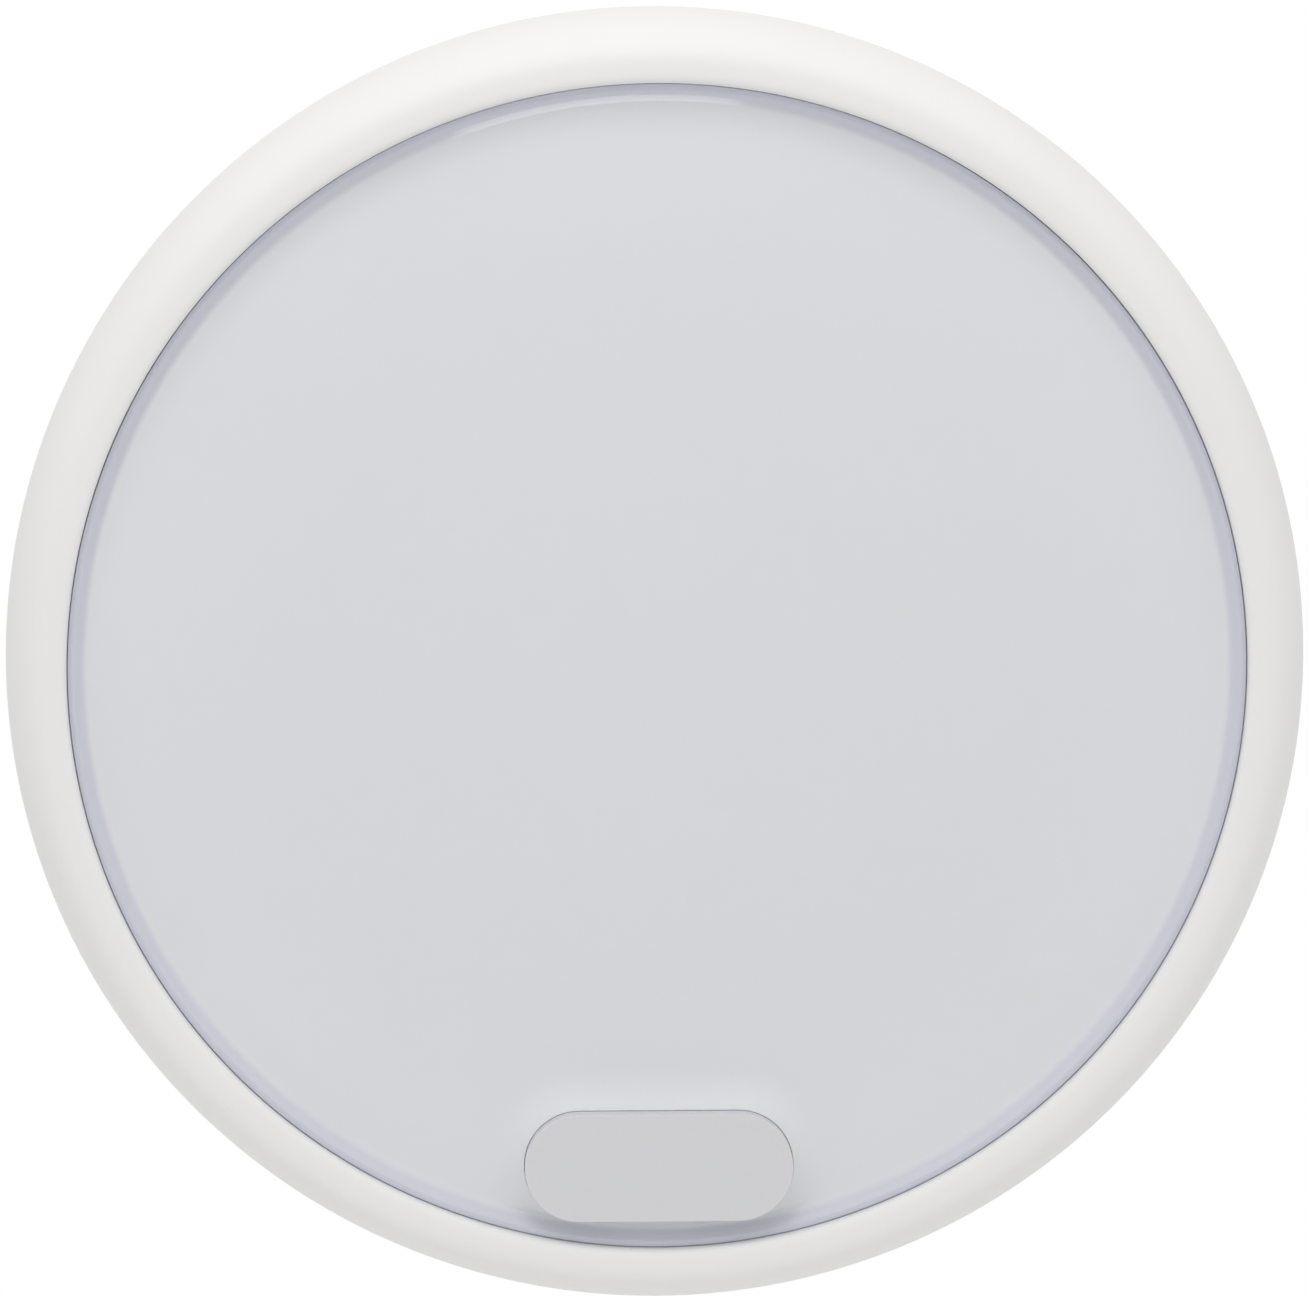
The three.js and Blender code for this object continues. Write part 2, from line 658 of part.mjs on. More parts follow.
function controlRing() {
  return turned([
    ...ringSkin(),
    [36.7, 26.25],
    [RING_LIP_RADIUS, 25.85],
    [RING_LIP_RADIUS, RING_LIP_BACK],
    [RING_BORE, RING_LIP_BACK],
  ]);
}

/** Carrier fixed inside the ring: its shoulder runs behind the bearing, and its band is read by the sensor. */
function ringCarrier() {
  return turned([
    [36.4, 20.7],
    [36.4, 22.6],
    [38.3, 22.6],
    [38.3, 12.6],
    [37.6, 12.6],
    [37.6, 20.7],
  ]);
}

function ringBearing() {
  return turned([
    [36.2, 23.0],
    [38.2, 23.0],
    [38.2, 24.2],
    [36.2, 24.2],
  ]);
}

// ---------------------------------------------------------------- assembly

const thermostat = new THREE.Group();

function assembleBase() {
  const base = new THREE.Group();
  addPiece(base, "base_plate", basePlate(), "whiteSatin");
  addPiece(base, "base_cover", baseCover(), "whiteSatin");
  addPiece(base, "base_board", baseBoard(), "circuitBoard");
  addPiece(base, "socket_block", socketBlock(), "darkPlastic");
  addPiece(base, "level_vial", levelVial(), "clearLens");
  addPiece(base, "level_fluid", levelFluid(), "levelFluid");
  const fixing = { headRadius: 2.1, headBack: 9.0, headFront: 9.5, shankRadius: 0.85, tip: 4 };
  BASE_SCREWS.forEach(([x, z], i) => {
    addPiece(base, `base_screw_${i + 1}`, screw(fixing), "steel").position.set(x, 0, z);
  });
  ["right", "left"].forEach((side, bank) => {
    const terminals = new THREE.Group();
    terminals.rotation.y = bank * Math.PI; // the left bank is the right one turned half round
    addPiece(terminals, `terminal_block_${side}`, terminalBlock(), "darkPlastic");
    addPiece(terminals, `lever_axle_${side}`, rod(AXLE_RADIUS, 27.6, "z", LEVER_PIVOT), "steel");
    [1, 0, -1].forEach((row, i) => {
      const number = bank * 3 + i + 1;
      const z = row * LEVER_PITCH;
      addPiece(terminals, `terminal_lever_${number}`, terminalLever(), "whiteShell").position.z = z;
      addPiece(terminals, `terminal_contact_${number}`, terminalContact(), "brass").position.z = z;
    });
    base.add(terminals);
  });
  thermostat.add(base);
}

function assembleDisplayUnit() {
  const unit = new THREE.Group();
  addPiece(unit, "rear_housing", rearHousing(), "whiteShell");
  addPiece(unit, "plug_block", plugBlock(), "darkPlastic");
  addPiece(unit, "plug_pins_upper", plugPins(1), "brass");
  addPiece(unit, "plug_pins_lower", plugPins(-1), "brass");
  addPiece(unit, "usb_socket", usbSocket(), "steel");
  addPiece(unit, "main_board", mainBoard(), "circuitBoard");
  addPiece(unit, "battery", battery(), "batteryFoil");
  addPiece(unit, "sounder", post(5.5, 14.1, 15.9, 13, -12, WELL_ROUND), "darkPlastic");
  addPiece(unit, "shield_can", block([-22, -4.4], [14.1, 15.9], [-18, -5]), "steel");
  addPiece(unit, "switch_body", switchBody(), "darkPlastic");
  addPiece(unit, "switch_plunger", post(1.6, 16.4, 18.0, 0, 0, 12), "windowWhite");
  addPiece(unit, "ring_sensor", block([34.2, 36.9], [14.1, 15.9], [-2.6, 2.6]), "darkPlastic");
  addPiece(unit, "climate_sensor", block([-3.5, 3.5], [4.8, 12.4], [-35.1, -34.3]), "circuitBoard");
  addPiece(unit, "core_chassis", coreChassis(), "whiteSatin");
  const fixing = { headRadius: 2.4, headBack: 10.45, headFront: 11.0, shankRadius: 0.9, tip: 16.2 };
  UNIT_SCREWS.forEach(([x, z], i) => {
    addPiece(unit, `housing_screw_${i + 1}`, screw(fixing), "steel").position.set(x, 0, z);
  });
  SPRINGS.forEach(([x, z], i) => {
    addPiece(unit, `press_spring_${i + 1}`, pressSpring(), "steel").position.set(x, 0, z);
  });
  addPiece(unit, "retaining_clip_right", retainingClip(), "steel");
  addPiece(unit, "retaining_clip_left", retainingClip(), "steel").rotation.y = Math.PI;
  thermostat.add(unit);
}

function assembleFront() {
  const front = new THREE.Group();
  addPiece(front, "head_frame", headFrame(), "whiteSatin");
  addPiece(front, "ring_bearing", ringBearing(), "slipPlastic");
  addPiece(front, "display_board", displayBoard(), "circuitBoard");
  addPiece(front, "light_guide", post(24.5, 20.9, 21.7, 0, 0, ROUND), "lightGuide");
  addPiece(front, "display_panel", displayPanel(), "displayGlass");
  addPiece(front, "diffuser", diffuser(), "frostedGrey");
  addPiece(front, "front_lens", frontLens(), "clearLens");
  addPiece(front, "occupancy_window", occupancyWindow(), "windowWhite");
  addPiece(front, "occupancy_sensor", occupancySensor(), "steel");
  addPiece(front, "control_ring", controlRing(), "whiteShell");
  addPiece(front, "ring_carrier", ringCarrier(), "darkPlastic");
  thermostat.add(front);
}

assembleBase();
assembleDisplayUnit();
assembleFront();

export default thermostat;
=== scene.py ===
"""Finished look of a round wall thermostat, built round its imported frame.

Lengths are metres. +X is right, +Z is up, the wall is at y = 0 and the front faces -Y.
A depth is a distance out from the wall, so a depth d lies at y = -d.
"""

import functools
import json
import math
import random

import bmesh
import bpy
from mathutils import Matrix, Vector

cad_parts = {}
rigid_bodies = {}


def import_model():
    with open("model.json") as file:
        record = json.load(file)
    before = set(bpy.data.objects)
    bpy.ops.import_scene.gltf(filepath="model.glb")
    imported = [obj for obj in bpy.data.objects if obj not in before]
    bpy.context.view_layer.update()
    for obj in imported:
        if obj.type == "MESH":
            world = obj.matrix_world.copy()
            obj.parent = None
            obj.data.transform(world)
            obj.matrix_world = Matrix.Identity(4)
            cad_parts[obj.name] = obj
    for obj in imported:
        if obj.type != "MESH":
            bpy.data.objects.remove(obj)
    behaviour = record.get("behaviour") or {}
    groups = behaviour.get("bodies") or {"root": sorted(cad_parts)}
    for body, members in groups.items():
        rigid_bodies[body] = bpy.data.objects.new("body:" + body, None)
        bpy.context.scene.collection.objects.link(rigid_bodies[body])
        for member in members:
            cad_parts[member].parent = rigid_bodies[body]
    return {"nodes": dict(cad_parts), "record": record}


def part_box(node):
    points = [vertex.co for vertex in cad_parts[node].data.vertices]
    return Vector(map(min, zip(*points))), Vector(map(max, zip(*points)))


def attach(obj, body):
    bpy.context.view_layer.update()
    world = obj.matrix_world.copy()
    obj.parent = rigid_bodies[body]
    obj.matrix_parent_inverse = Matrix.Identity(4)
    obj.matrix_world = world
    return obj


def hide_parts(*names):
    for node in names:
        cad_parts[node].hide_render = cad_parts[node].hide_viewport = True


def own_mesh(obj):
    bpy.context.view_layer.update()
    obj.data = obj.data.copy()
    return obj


bl_info = {
    "name": "Wall Thermostat",
    "version": (1, 0, 0),
    "blender": (4, 5, 0),
    "location": "3D View > Sidebar > Thermostat",
    "description": "Builds a round wall thermostat with a turning ring and a pressing front",
    "category": "Object",
}

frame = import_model()
bpy.context.view_layer.update()

MM = 0.001
CLEARANCE = 0.3 * MM  # between pieces that meet face to face
LENS_GROWTH = 0.45 * MM  # how much wider the finished lens is than its plain solid
LENS_GAP = 0.05 * MM  # between the lens and the ring that turns round it
SEAM = 0.04 * MM  # round the window, which is pressed into its opening
FACETS = 256  # round the large turned pieces
ON_AXIS = 1e-9
WALL_SCREW_RISE = 25.5 * MM  # from the axis to each wall screw
LEVER_REACH = 18.35 * MM  # from the axis to the middle of each lever's opening
WIRE_ROOM = 0.5 * MM  # left round the wires, past the clear way in the record
RIM_WIDTH = 1.9 * MM  # of the step under the lens's edge, over the disc's rim
RIM_RISE = 0.8 * MM  # of the disc's rim, and of the step over it
SKY_LEVEL = 0.795
SKY_SLOPES = (("Y", 0.05), ("Z", 0.06))  # how the sky brightens along each axis


# ------------------------------------------------------------------ places read from the frame


@functools.cache
def box(node):
    """Lowest and highest corner of a node, in metres."""
    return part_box(node)


def span(node):
    """The depths of a node's back and front."""
    low, high = box(node)
    return -high.y, -low.y


def reach(node):
    """How far a node reaches from the thermostat's axis along +X."""
    return box(node)[1].x


def middle(node):
    """The centre of a node's box."""
    low, high = box(node)
    return (low + high) / 2


def numbered(stem, count):
    return [f"{stem}_{i}" for i in range(1, count + 1)]


# ------------------------------------------------------------------ sections and outlines


def around(count, start=0.0):
    """Angles evenly spaced round a full turn."""
    return [start + 2 * math.pi * i / count for i in range(count)]


def rounded(corners, steps=4):
    """A path whose corners with a third value are rounded to that radius."""
    path = []
    for i, corner in enumerate(corners):
        here = Vector(corner[:2])
        radius = corner[2] if len(corner) > 2 else 0
        if not radius:
            path.append(tuple(here))
            continue
        before = Vector(corners[i - 1][:2]) - here
        after = Vector(corners[(i + 1) % len(corners)][:2]) - here
        bend = before.angle(after)
        setback = min(radius / math.tan(bend / 2), before.length * 0.49, after.length * 0.49)
        start = here + before.normalized() * setback
        end = here + after.normalized() * setback
        for step in range(steps + 1):
            t = step / steps
            path.append(tuple(start * (1 - t) ** 2 + here * 2 * t * (1 - t) + end * t**2))
    return path


def rectangle(width, height, corner=0.0, centre=(0.0, 0.0), steps=6):
    """A rectangle with round corners, as (x, z) points."""
    x, z = centre
    corner = min(corner, width / 2 - 1e-6, height / 2 - 1e-6)
    path = []
    for quarter, (sx, sz) in enumerate(((1, 1), (-1, 1), (-1, -1), (1, -1))):
        cx = x + sx * (width / 2 - corner)
        cz = z + sz * (height / 2 - corner)
        for step in range(steps + 1 if corner > 0 else 1):
            turn = math.pi / 2 * (quarter + step / steps)
            path.append((cx + corner * math.cos(turn), cz + corner * math.sin(turn)))
    return path


def disc(radius, centre=(0.0, 0.0), facets=32):
    return [(centre[0] + radius * math.cos(t), centre[1] + radius * math.sin(t)) for t in around(facets)]


# ------------------------------------------------------------------ meshes


def as_mesh(name, build):
    """A mesh datablock from a bmesh, with its faces pointing out."""
    bmesh.ops.recalc_face_normals(build, faces=build.faces)
    mesh = bpy.data.meshes.new(name)
    build.to_mesh(mesh)
    build.free()
    return mesh


def revolved(section, facets=FACETS, name="turned"):
    """A closed mesh turned about the thermostat's axis from (radius, depth) points."""
    build = bmesh.new()
    rings = []
    for radius, depth in section:
        if radius < ON_AXIS:
            rings.append([build.verts.new((0, -depth, 0))])
        else:
            ring = [(radius * math.cos(t), -depth, radius * math.sin(t)) for t in around(facets)]
            rings.append([build.verts.new(place) for place in ring])
    following = rings[1:] + ([rings[0]] if section[0][0] >= ON_AXIS else [])
    for one, two in zip(rings, following):
        for i in range(facets):
            j = (i + 1) % facets
            loop = [one[i % len(one)], two[i % len(two)], two[j % len(two)], one[j % len(one)]]
            corners = list(dict.fromkeys(loop))
            if len(corners) > 2:
                build.faces.new(corners)
    return as_mesh(name, build)


def pulled(outline, back, front, name="pulled"):
    """A closed mesh from an (x, z) outline, between two depths."""
    build = bmesh.new()
    ends = [[build.verts.new((x, -depth, z)) for x, z in outline] for depth in (back, front)]
    build.faces.new(ends[0])
    build.faces.new(ends[1][::-1])
    for i in range(len(outline)):
        j = (i + 1) % len(outline)
        build.faces.new([ends[0][i], ends[1][i], ends[1][j], ends[0][j]])
    return as_mesh(name, build)


def turned_along(axis, section, centre, facets=48):
    """A closed mesh turned about a line through centre along X or Z, from (radius, distance) points."""
    mesh = revolved(section, facets)
    swing = Matrix.Rotation(math.pi / 2, 4, "Z" if axis == "x" else "X")
    mesh.transform(Matrix.Translation(centre) @ swing)
    return mesh


def block(low, high):
    """A closed box mesh between two corners."""
    build = bmesh.new()
    bmesh.ops.create_cube(build, size=1)
    size = Vector(high) - Vector(low)
    build.transform(Matrix.Translation((Vector(low) + Vector(high)) / 2) @ Matrix.Diagonal((*size, 1)))
    return as_mesh("block", build)


def gathered(meshes, name="gathered"):
    """Several meshes as one, each kept as its own shell."""
    build = bmesh.new()
    for mesh in meshes:
        build.from_mesh(mesh)
        bpy.data.meshes.remove(mesh)
    return as_mesh(name, build)


def combined(mesh, others, how):
    """A mesh joined with, or cut by, other closed meshes."""
    scene = bpy.context.scene
    target = bpy.data.objects.new("target", mesh)
    scene.collection.objects.link(target)
    tools = bpy.data.collections.new("tools")
    scene.collection.children.link(tools)
    for other in others:
        tools.objects.link(bpy.data.objects.new("tool", other))
    step = target.modifiers.new("combine", "BOOLEAN")
    step.operation = how
    step.solver = "EXACT"
    step.operand_type = "COLLECTION"
    step.collection = tools
    shaped = target.evaluated_get(bpy.context.evaluated_depsgraph_get())
    made = bpy.data.meshes.new_from_object(shaped)
    for tool in list(tools.objects):
        bpy.data.objects.remove(tool)
    bpy.data.collections.remove(tools)
    bpy.data.objects.remove(target)
    for used in (mesh, *others):
        bpy.data.meshes.remove(used)
    if not made.polygons:
        raise RuntimeError("a cut or a join left nothing")
    return made


def carved(mesh, cutters):
    return combined(mesh, cutters, "DIFFERENCE")


def fused(mesh, others):
    return combined(mesh, others, "UNION")


# ------------------------------------------------------------------ pieces


def soften(piece, edge):
    """Rounds a piece's sharp edges and evens its shading."""
    bevel = piece.modifiers.new("edges", "BEVEL")
    bevel.width = edge
    bevel.segments = 2
    bevel.limit_method = "ANGLE"
    bevel.angle_limit = math.radians(35)
    bevel.use_clamp_overlap = True
    bevel.miter_outer = "MITER_ARC"
    bevel.harden_normals = False
    even = piece.modifiers.new("shading", "WEIGHTED_NORMAL")
    even.keep_sharp = True


def add_piece(name, mesh, body, make, replaces=(), edge=0.0, smooth=35):
    """Puts a mesh in the scene as a named piece that rides on a body, with the finish that make gives."""
    finish = finish_named(make)
    mesh.name = name
    piece = bpy.data.objects.new(name, mesh)
    bpy.context.scene.collection.objects.link(piece)
    mesh.materials.clear()
    mesh.materials.append(finish)
    mesh.shade_smooth()
    if edge:
        soften(piece, edge)
    else:
        mesh.set_sharp_from_angle(angle=math.radians(smooth))
    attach(piece, body)
    if replaces:
        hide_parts(*replaces)
    return piece


def dress(node, make, edge=0.12 * MM):
    """Gives a node of the frame its finish, and rounds its edges without changing its mesh."""
    piece = frame["nodes"][node]
    piece.data.materials.clear()
    piece.data.materials.append(finish_named(make))
    weld = piece.modifiers.new("weld", "WELD")
    weld.merge_threshold = 0.001 * MM
    soften(piece, edge)
    return piece


# ------------------------------------------------------------------ finishes


class Wiring:
    """Adds nodes to a node tree and joins them."""

    def __init__(self, tree):
        self.nodes, self.links = tree.nodes, tree.links

    def add(self, kind, inputs=None, **settings):
        node = self.nodes.new(kind)
        for key, value in settings.items():
            setattr(node, key, value)
        for key, value in (inputs or {}).items():
            if isinstance(value, bpy.types.NodeSocket):
                self.links.new(value, node.inputs[key])
            else:
                node.inputs[key].default_value = value
        return node


class Finish(Wiring):
    """A node material being wired up round one Principled shader."""

    def __init__(self, name, roughness=0.5, metallic=0.0):
        self.material = bpy.data.materials.new(name)
        self.material.use_nodes = True
        super().__init__(self.material.node_tree)
        self.shader = self.nodes["Principled BSDF"]
        self.shader.inputs["Roughness"].default_value = roughness
        self.shader.inputs["Metallic"].default_value = metallic
        self.place = self.nodes.new("ShaderNodeTexCoord").outputs["Object"]

    def set(self, **values):
        for key, value in values.items():
            self.shader.inputs[key.replace("_", " ")].default_value = value
        return self

    def stretched(self, scale):
        """Place on the piece, stretched by a different scale along each axis."""
        mapping = self.add("ShaderNodeMapping", {"Vector": self.place, "Scale": scale})
        return mapping.outputs["Vector"]

    def noise(self, size, detail=2.0, roughness=0.5, place=None, distortion=0.0):
        """Cloudy noise whose features are about as large as size."""
        inputs = {
            "Vector": place or self.place,
            "Scale": 1 / size,
            "Detail": detail,
            "Roughness": roughness,
            "Distortion": distortion,
        }
        return self.add("ShaderNodeTexNoise", inputs).outputs["Fac"]

    def cells(self, size, feature="F1", place=None):
        """Distance to the nearest of scattered points."""
        inputs = {"Vector": place or self.place, "Scale": 1 / size}
        return self.add("ShaderNodeTexVoronoi", inputs, feature=feature).outputs["Distance"]

    def bricks(self, width, height, gap, smooth, offset):
        """Lines between bricks laid in the plane of the front."""
        inputs = {
            "Vector": self.add(
                "ShaderNodeMapping", {"Vector": self.place, "Rotation": (math.pi / 2, 0, 0)}
            ).outputs[0],
            "Scale": 1.0,
            "Mortar Size": gap,
            "Mortar Smooth": smooth,
            "Brick Width": width,
            "Row Height": height,
        }
        return self.add("ShaderNodeTexBrick", inputs, offset=offset).outputs["Fac"]

    def ranged(self, value, low, high, start=0.0, end=1.0, curve="SMOOTHSTEP"):
        """A value carried from start..end to low..high."""
        inputs = {"Value": value, "From Min": start, "From Max": end, "To Min": low, "To Max": high}
        return self.add("ShaderNodeMapRange", inputs, interpolation_type=curve).outputs["Result"]

    def maths(self, how, one, two=0.5):
        return self.add("ShaderNodeMath", {0: one, 1: two}, operation=how).outputs[0]

    def blended(self, share, one, two):
        """A colour part way from one to two."""
        node = self.add("ShaderNodeMix", data_type="RGBA")
        for key, value in ((0, share), (6, one), (7, two)):
            if isinstance(value, bpy.types.NodeSocket):
                self.links.new(value, node.inputs[key])
            else:
                node.inputs[key].default_value = value if key == 0 else (*value[:3], 1)
        return node.outputs[2]

    def along(self, axis):
        """Place along one axis, in metres."""
        parts = self.add("ShaderNodeSeparateXYZ", {"Vector": self.place})
        return parts.outputs[axis]

    def radius(self, across="Z"):
        """Distance from the thermostat's axis, or from another line through the origin."""
        parts = self.add("ShaderNodeSeparateXYZ", {"Vector": self.place})
        square = self.maths("MULTIPLY", parts.outputs["X"], parts.outputs["X"])
        other = self.maths("MULTIPLY", parts.outputs[across], parts.outputs[across])
        return self.maths("SQRT", self.maths("ADD", square, other))

    def colour(self, value):
        self.links.new(value, self.shader.inputs["Base Color"])
        return self

    def rough(self, value):
        self.links.new(value, self.shader.inputs["Roughness"])
        return self

    def bump(self, height, depth, strength=1.0, below=None):
        """Relief of a given depth in metres, over any relief below it."""
        inputs = {"Height": height, "Distance": depth, "Strength": strength}
        if below:
            inputs["Normal"] = below
        normal = self.add("ShaderNodeBump", inputs).outputs["Normal"]
        self.links.new(normal, self.shader.inputs["Normal"])
        return normal


def shade(colour, factor):
    """A colour made darker or lighter."""
    return tuple(min(1.0, channel * factor) for channel in colour[:3])


def moulded(name, colour, roughness, grain, depth, mottle=0.03):
    """Moulded plastic with a fine texture, faint flow marks and a little handling grime."""
    finish = Finish(name, roughness)
    flow = finish.noise(9 * MM, detail=3, distortion=0.4)
    patches = finish.noise(2.2 * MM, detail=4, roughness=0.6)
    tone = finish.blended(flow, shade(colour, 1 - mottle), shade(colour, 1 + mottle))
    grime = finish.ranged(patches, 0, 0.35, 0.62, 0.8)
    finish.colour(finish.blended(grime, tone, shade(colour, 0.965)))
    finish.rough(finish.ranged(patches, roughness - 0.05, roughness + 0.07, 0.3, 0.7))
    broad = finish.bump(flow, 6 * depth, 0.25)
    finish.bump(finish.noise(grain, detail=1.5), depth, 0.6, broad)
    return finish


def ring_white(colours):
    """White shell of the ring: satin, polished slightly where fingers hold it."""
    finish = moulded("ring_white", colours.shell, 0.5, 0.35 * MM, 0.006 * MM, 0.008)
    back, front = span("control_ring")
    depth = finish.maths("MULTIPLY", finish.along("Y"), -1.0)
    held = finish.ranged(depth, 0.0, 1.0, back, (back + front) / 2)
    patches = finish.noise(5 * MM, detail=5, roughness=0.65)
    worn = finish.maths("MULTIPLY", held, finish.ranged(patches, 0.2, 1.0, 0.35, 0.65))
    finish.rough(finish.ranged(worn, 0.66, 0.54))
    finish.set(Specular_IOR_Level=0.25)
    return finish.material


def shell_white(colours):
    return moulded("shell_white", colours.shell, 0.46, 0.3 * MM, 0.01 * MM, 0.012).material


def satin_white(colours):
    """Texture-etched plastic of the wall base and the inner mouldings."""
    return moulded("satin_white", colours.inner, 0.56, 0.22 * MM, 0.018 * MM, 0.02).material


def see_through(finish, colour, gloss):
    """Turns a finish into a clear one: tinted air, with the shader's gloss over it."""
    air = finish.add("ShaderNodeBsdfTransparent", {"Color": (*colour, 1)})
    sheen = finish.add("ShaderNodeFresnel", {"IOR": 1.45})
    mirrored = finish.add("ShaderNodeBsdfGlossy", {"Color": (1, 1, 1, 1), "Roughness": gloss})
    entering = finish.maths("SUBTRACT", 1.0, finish.nodes.new("ShaderNodeNewGeometry").outputs["Backfacing"])
    mix = finish.nodes.new("ShaderNodeMixShader")
    finish.links.new(finish.maths("MULTIPLY", sheen.outputs["Fac"], entering), mix.inputs["Fac"])
    finish.links.new(air.outputs["BSDF"], mix.inputs[1])
    finish.links.new(mirrored.outputs["BSDF"], mix.inputs[2])
    finish.links.new(mix.outputs["Shader"], finish.nodes["Material Output"].inputs["Surface"])
    return sheen, mirrored


def lens_clear(colours):
    """Clear polished lens, with the faintest of hairlines and smears."""
    finish = Finish("lens_clear", 0.02)
    smear = finish.noise(7 * MM, detail=4, roughness=0.6, place=finish.stretched((1, 1, 0.35)))
    gloss = finish.ranged(smear, 0.09, 0.17, 0.45, 0.8)
    sheen, mirrored = see_through(finish, colours.lens, gloss)
    normal = finish.bump(finish.noise(16 * MM, detail=1), 0.01 * MM, 0.2)
    finish.links.new(normal, sheen.inputs["Normal"])
    finish.links.new(normal, mirrored.inputs["Normal"])
    finish.nodes.remove(finish.shader)
    return finish.material


def frosted_disc(colours):
    """Cool grey frosted disc with a fine sparkle, a painted reflection that lightens it towards its edge, and
    a band of painted shade round its rim.
    """
    finish = Finish("frosted_disc", 0.62)
    rim = reach("front_lens") + LENS_GROWTH
    # Painted reflection: the disc's colour lightens towards its edge, standing in for the domed lens
    # reflecting the room.
    edge = finish.ranged(finish.radius(), 0.0, 1.0, 0.6 * rim, rim)
    tone = finish.blended(edge, colours.disc, shade(colours.disc, 1.03))
    cloud = finish.noise(12 * MM, detail=2)
    tone = finish.blended(finish.ranged(cloud, 0.0, 0.5), tone, shade(colours.disc, 0.985))
    fleck = finish.ranged(finish.cells(0.16 * MM), 1.0, 0.0, 0.0, 0.35)
    tone = finish.blended(finish.maths("MULTIPLY", fleck, 0.2), tone, shade(colours.disc, 1.06))
    # Painted shade: a darker, bluish band just inside the rim, standing in for the dark gap that the lens's
    # edge refracts.
    band = finish.ranged(finish.radius(), 0.0, 1.0, rim - 1.25 * MM, rim - 0.75 * MM)
    finish.colour(finish.blended(band, tone, colours.painted_rim_shade))
    finish.rough(finish.ranged(finish.noise(0.5 * MM), 0.56, 0.68))
    finish.bump(finish.noise(0.2 * MM, detail=1), 0.008 * MM, 0.4)
    return finish.material


def window_grey(colours):
    """Infrared-clear plastic of the window, very slightly milky."""
    finish = moulded("window_grey", colours.window, 0.46, 0.25 * MM, 0.006 * MM, 0.01)
    finish.set(Subsurface_Weight=0.15, Subsurface_Scale=0.8 * MM)
    return finish.material


def dark_plastic(colours):
    """Glass-filled black plastic of the connectors and terminal blocks."""
    finish = Finish("dark_plastic", 0.55)
    fibres = finish.noise(0.25 * MM, detail=3, place=finish.stretched((1, 1, 0.3)))
    finish.colour(finish.blended(fibres, (0.018, 0.018, 0.02), (0.045, 0.045, 0.05)))
    finish.rough(finish.ranged(finish.noise(1.5 * MM, detail=3), 0.42, 0.66))
    finish.bump(fibres, 0.012 * MM, 0.5)
    return finish.material


def slip_plastic(colours):
    """Waxy cream plastic of the bearing, rubbed in fine circles."""
    finish = Finish("slip_plastic", 0.35)
    rings = finish.maths("SINE", finish.maths("MULTIPLY", finish.radius(), 2 * math.pi / (0.25 * MM)))
    cloud = finish.noise(4 * MM, detail=3)
    finish.colour(finish.blended(cloud, (0.66, 0.65, 0.58), (0.74, 0.73, 0.67)))
    finish.rough(finish.ranged(rings, 0.28, 0.42, -1, 1))
    finish.bump(rings, 0.004 * MM, 0.3)
    return finish.material


def circuit_green(colours):
    """Circuit board: tracks and copper pours under a green coat, with plated vias."""
    finish = Finish("circuit_green", 0.4)
    tracks = finish.bricks(11 * MM, 0.55 * MM, gap=0.12 * MM, smooth=0.3, offset=0.37)
    pours = finish.ranged(finish.noise(7 * MM, detail=0), 0, 1, 0.47, 0.5)
    raised = finish.maths("MAXIMUM", tracks, finish.maths("MULTIPLY", pours, 0.7))
    coat = finish.blended(raised, colours.board, shade(colours.board, 1.9))
    vias = finish.ranged(finish.cells(1.7 * MM), 1.0, 0.0, 0.13, 0.16)
    finish.colour(finish.blended(vias, coat, (0.7, 0.52, 0.24)))
    finish.rough(finish.ranged(finish.noise(0.8 * MM, detail=3), 0.32, 0.5))
    finish.bump(raised, 0.03 * MM, 0.6)
    return finish.material


def metal(name, light, dark, low, high, direction, scratch=0.12 * MM):
    """Metal drawn or brushed along one direction."""
    finish = Finish(name, low, 1.0)
    lines = finish.noise(scratch, detail=3, place=finish.stretched(direction))
    patches = finish.noise(3 * MM, detail=4, roughness=0.65)
    finish.colour(finish.blended(patches, dark, light))
    finish.rough(finish.ranged(finish.maths("MULTIPLY", lines, patches), low, high, 0.1, 0.45))
    finish.bump(lines, 0.006 * MM, 0.5)
    return finish.material


def steel(colours):
    return metal("steel", (0.66, 0.67, 0.69), (0.5, 0.51, 0.53), 0.22, 0.45, (1, 1, 0.06))


def spring_steel(colours):
    return metal("spring_steel", (0.58, 0.59, 0.61), (0.4, 0.41, 0.43), 0.18, 0.36, (0.2, 1, 0.2))


def gold_plate(colours):
    return metal("gold_plate", (0.93, 0.7, 0.32), (0.8, 0.56, 0.22), 0.2, 0.4, (1, 0.1, 1))


def battery_foil(colours):
    """Foil laminate of the pouch cell, crinkled and pressed."""
    finish = Finish("battery_foil", 0.4, 0.85)
    folds = finish.cells(3.2 * MM, feature="DISTANCE_TO_EDGE", place=finish.stretched((1, 1, 1.7)))
    crinkle = finish.noise(1.1 * MM, detail=5, roughness=0.6, distortion=1.0)
    finish.colour(finish.blended(crinkle, (0.5, 0.51, 0.53), (0.72, 0.73, 0.75)))
    finish.rough(finish.ranged(crinkle, 0.28, 0.52, 0.3, 0.7))
    creases = finish.bump(finish.ranged(folds, 0.0, 1.0, 0.0, 0.12), 0.05 * MM, 0.4)
    finish.bump(crinkle, 0.05 * MM, 0.5, creases)
    return finish.material


def display_black(colours):
    """Dark display glass with its cell grid only just visible."""
    finish = Finish("display_black", 0.08)
    grid = finish.bricks(0.18 * MM, 0.18 * MM, gap=0.02 * MM, smooth=0.1, offset=0.0)
    finish.colour(finish.blended(grid, (0.012, 0.013, 0.016), (0.03, 0.032, 0.036)))
    finish.rough(finish.ranged(finish.noise(6 * MM, detail=5), 0.05, 0.16, 0.4, 0.7))
    finish.bump(grid, 0.002 * MM, 0.2)
    return finish.material


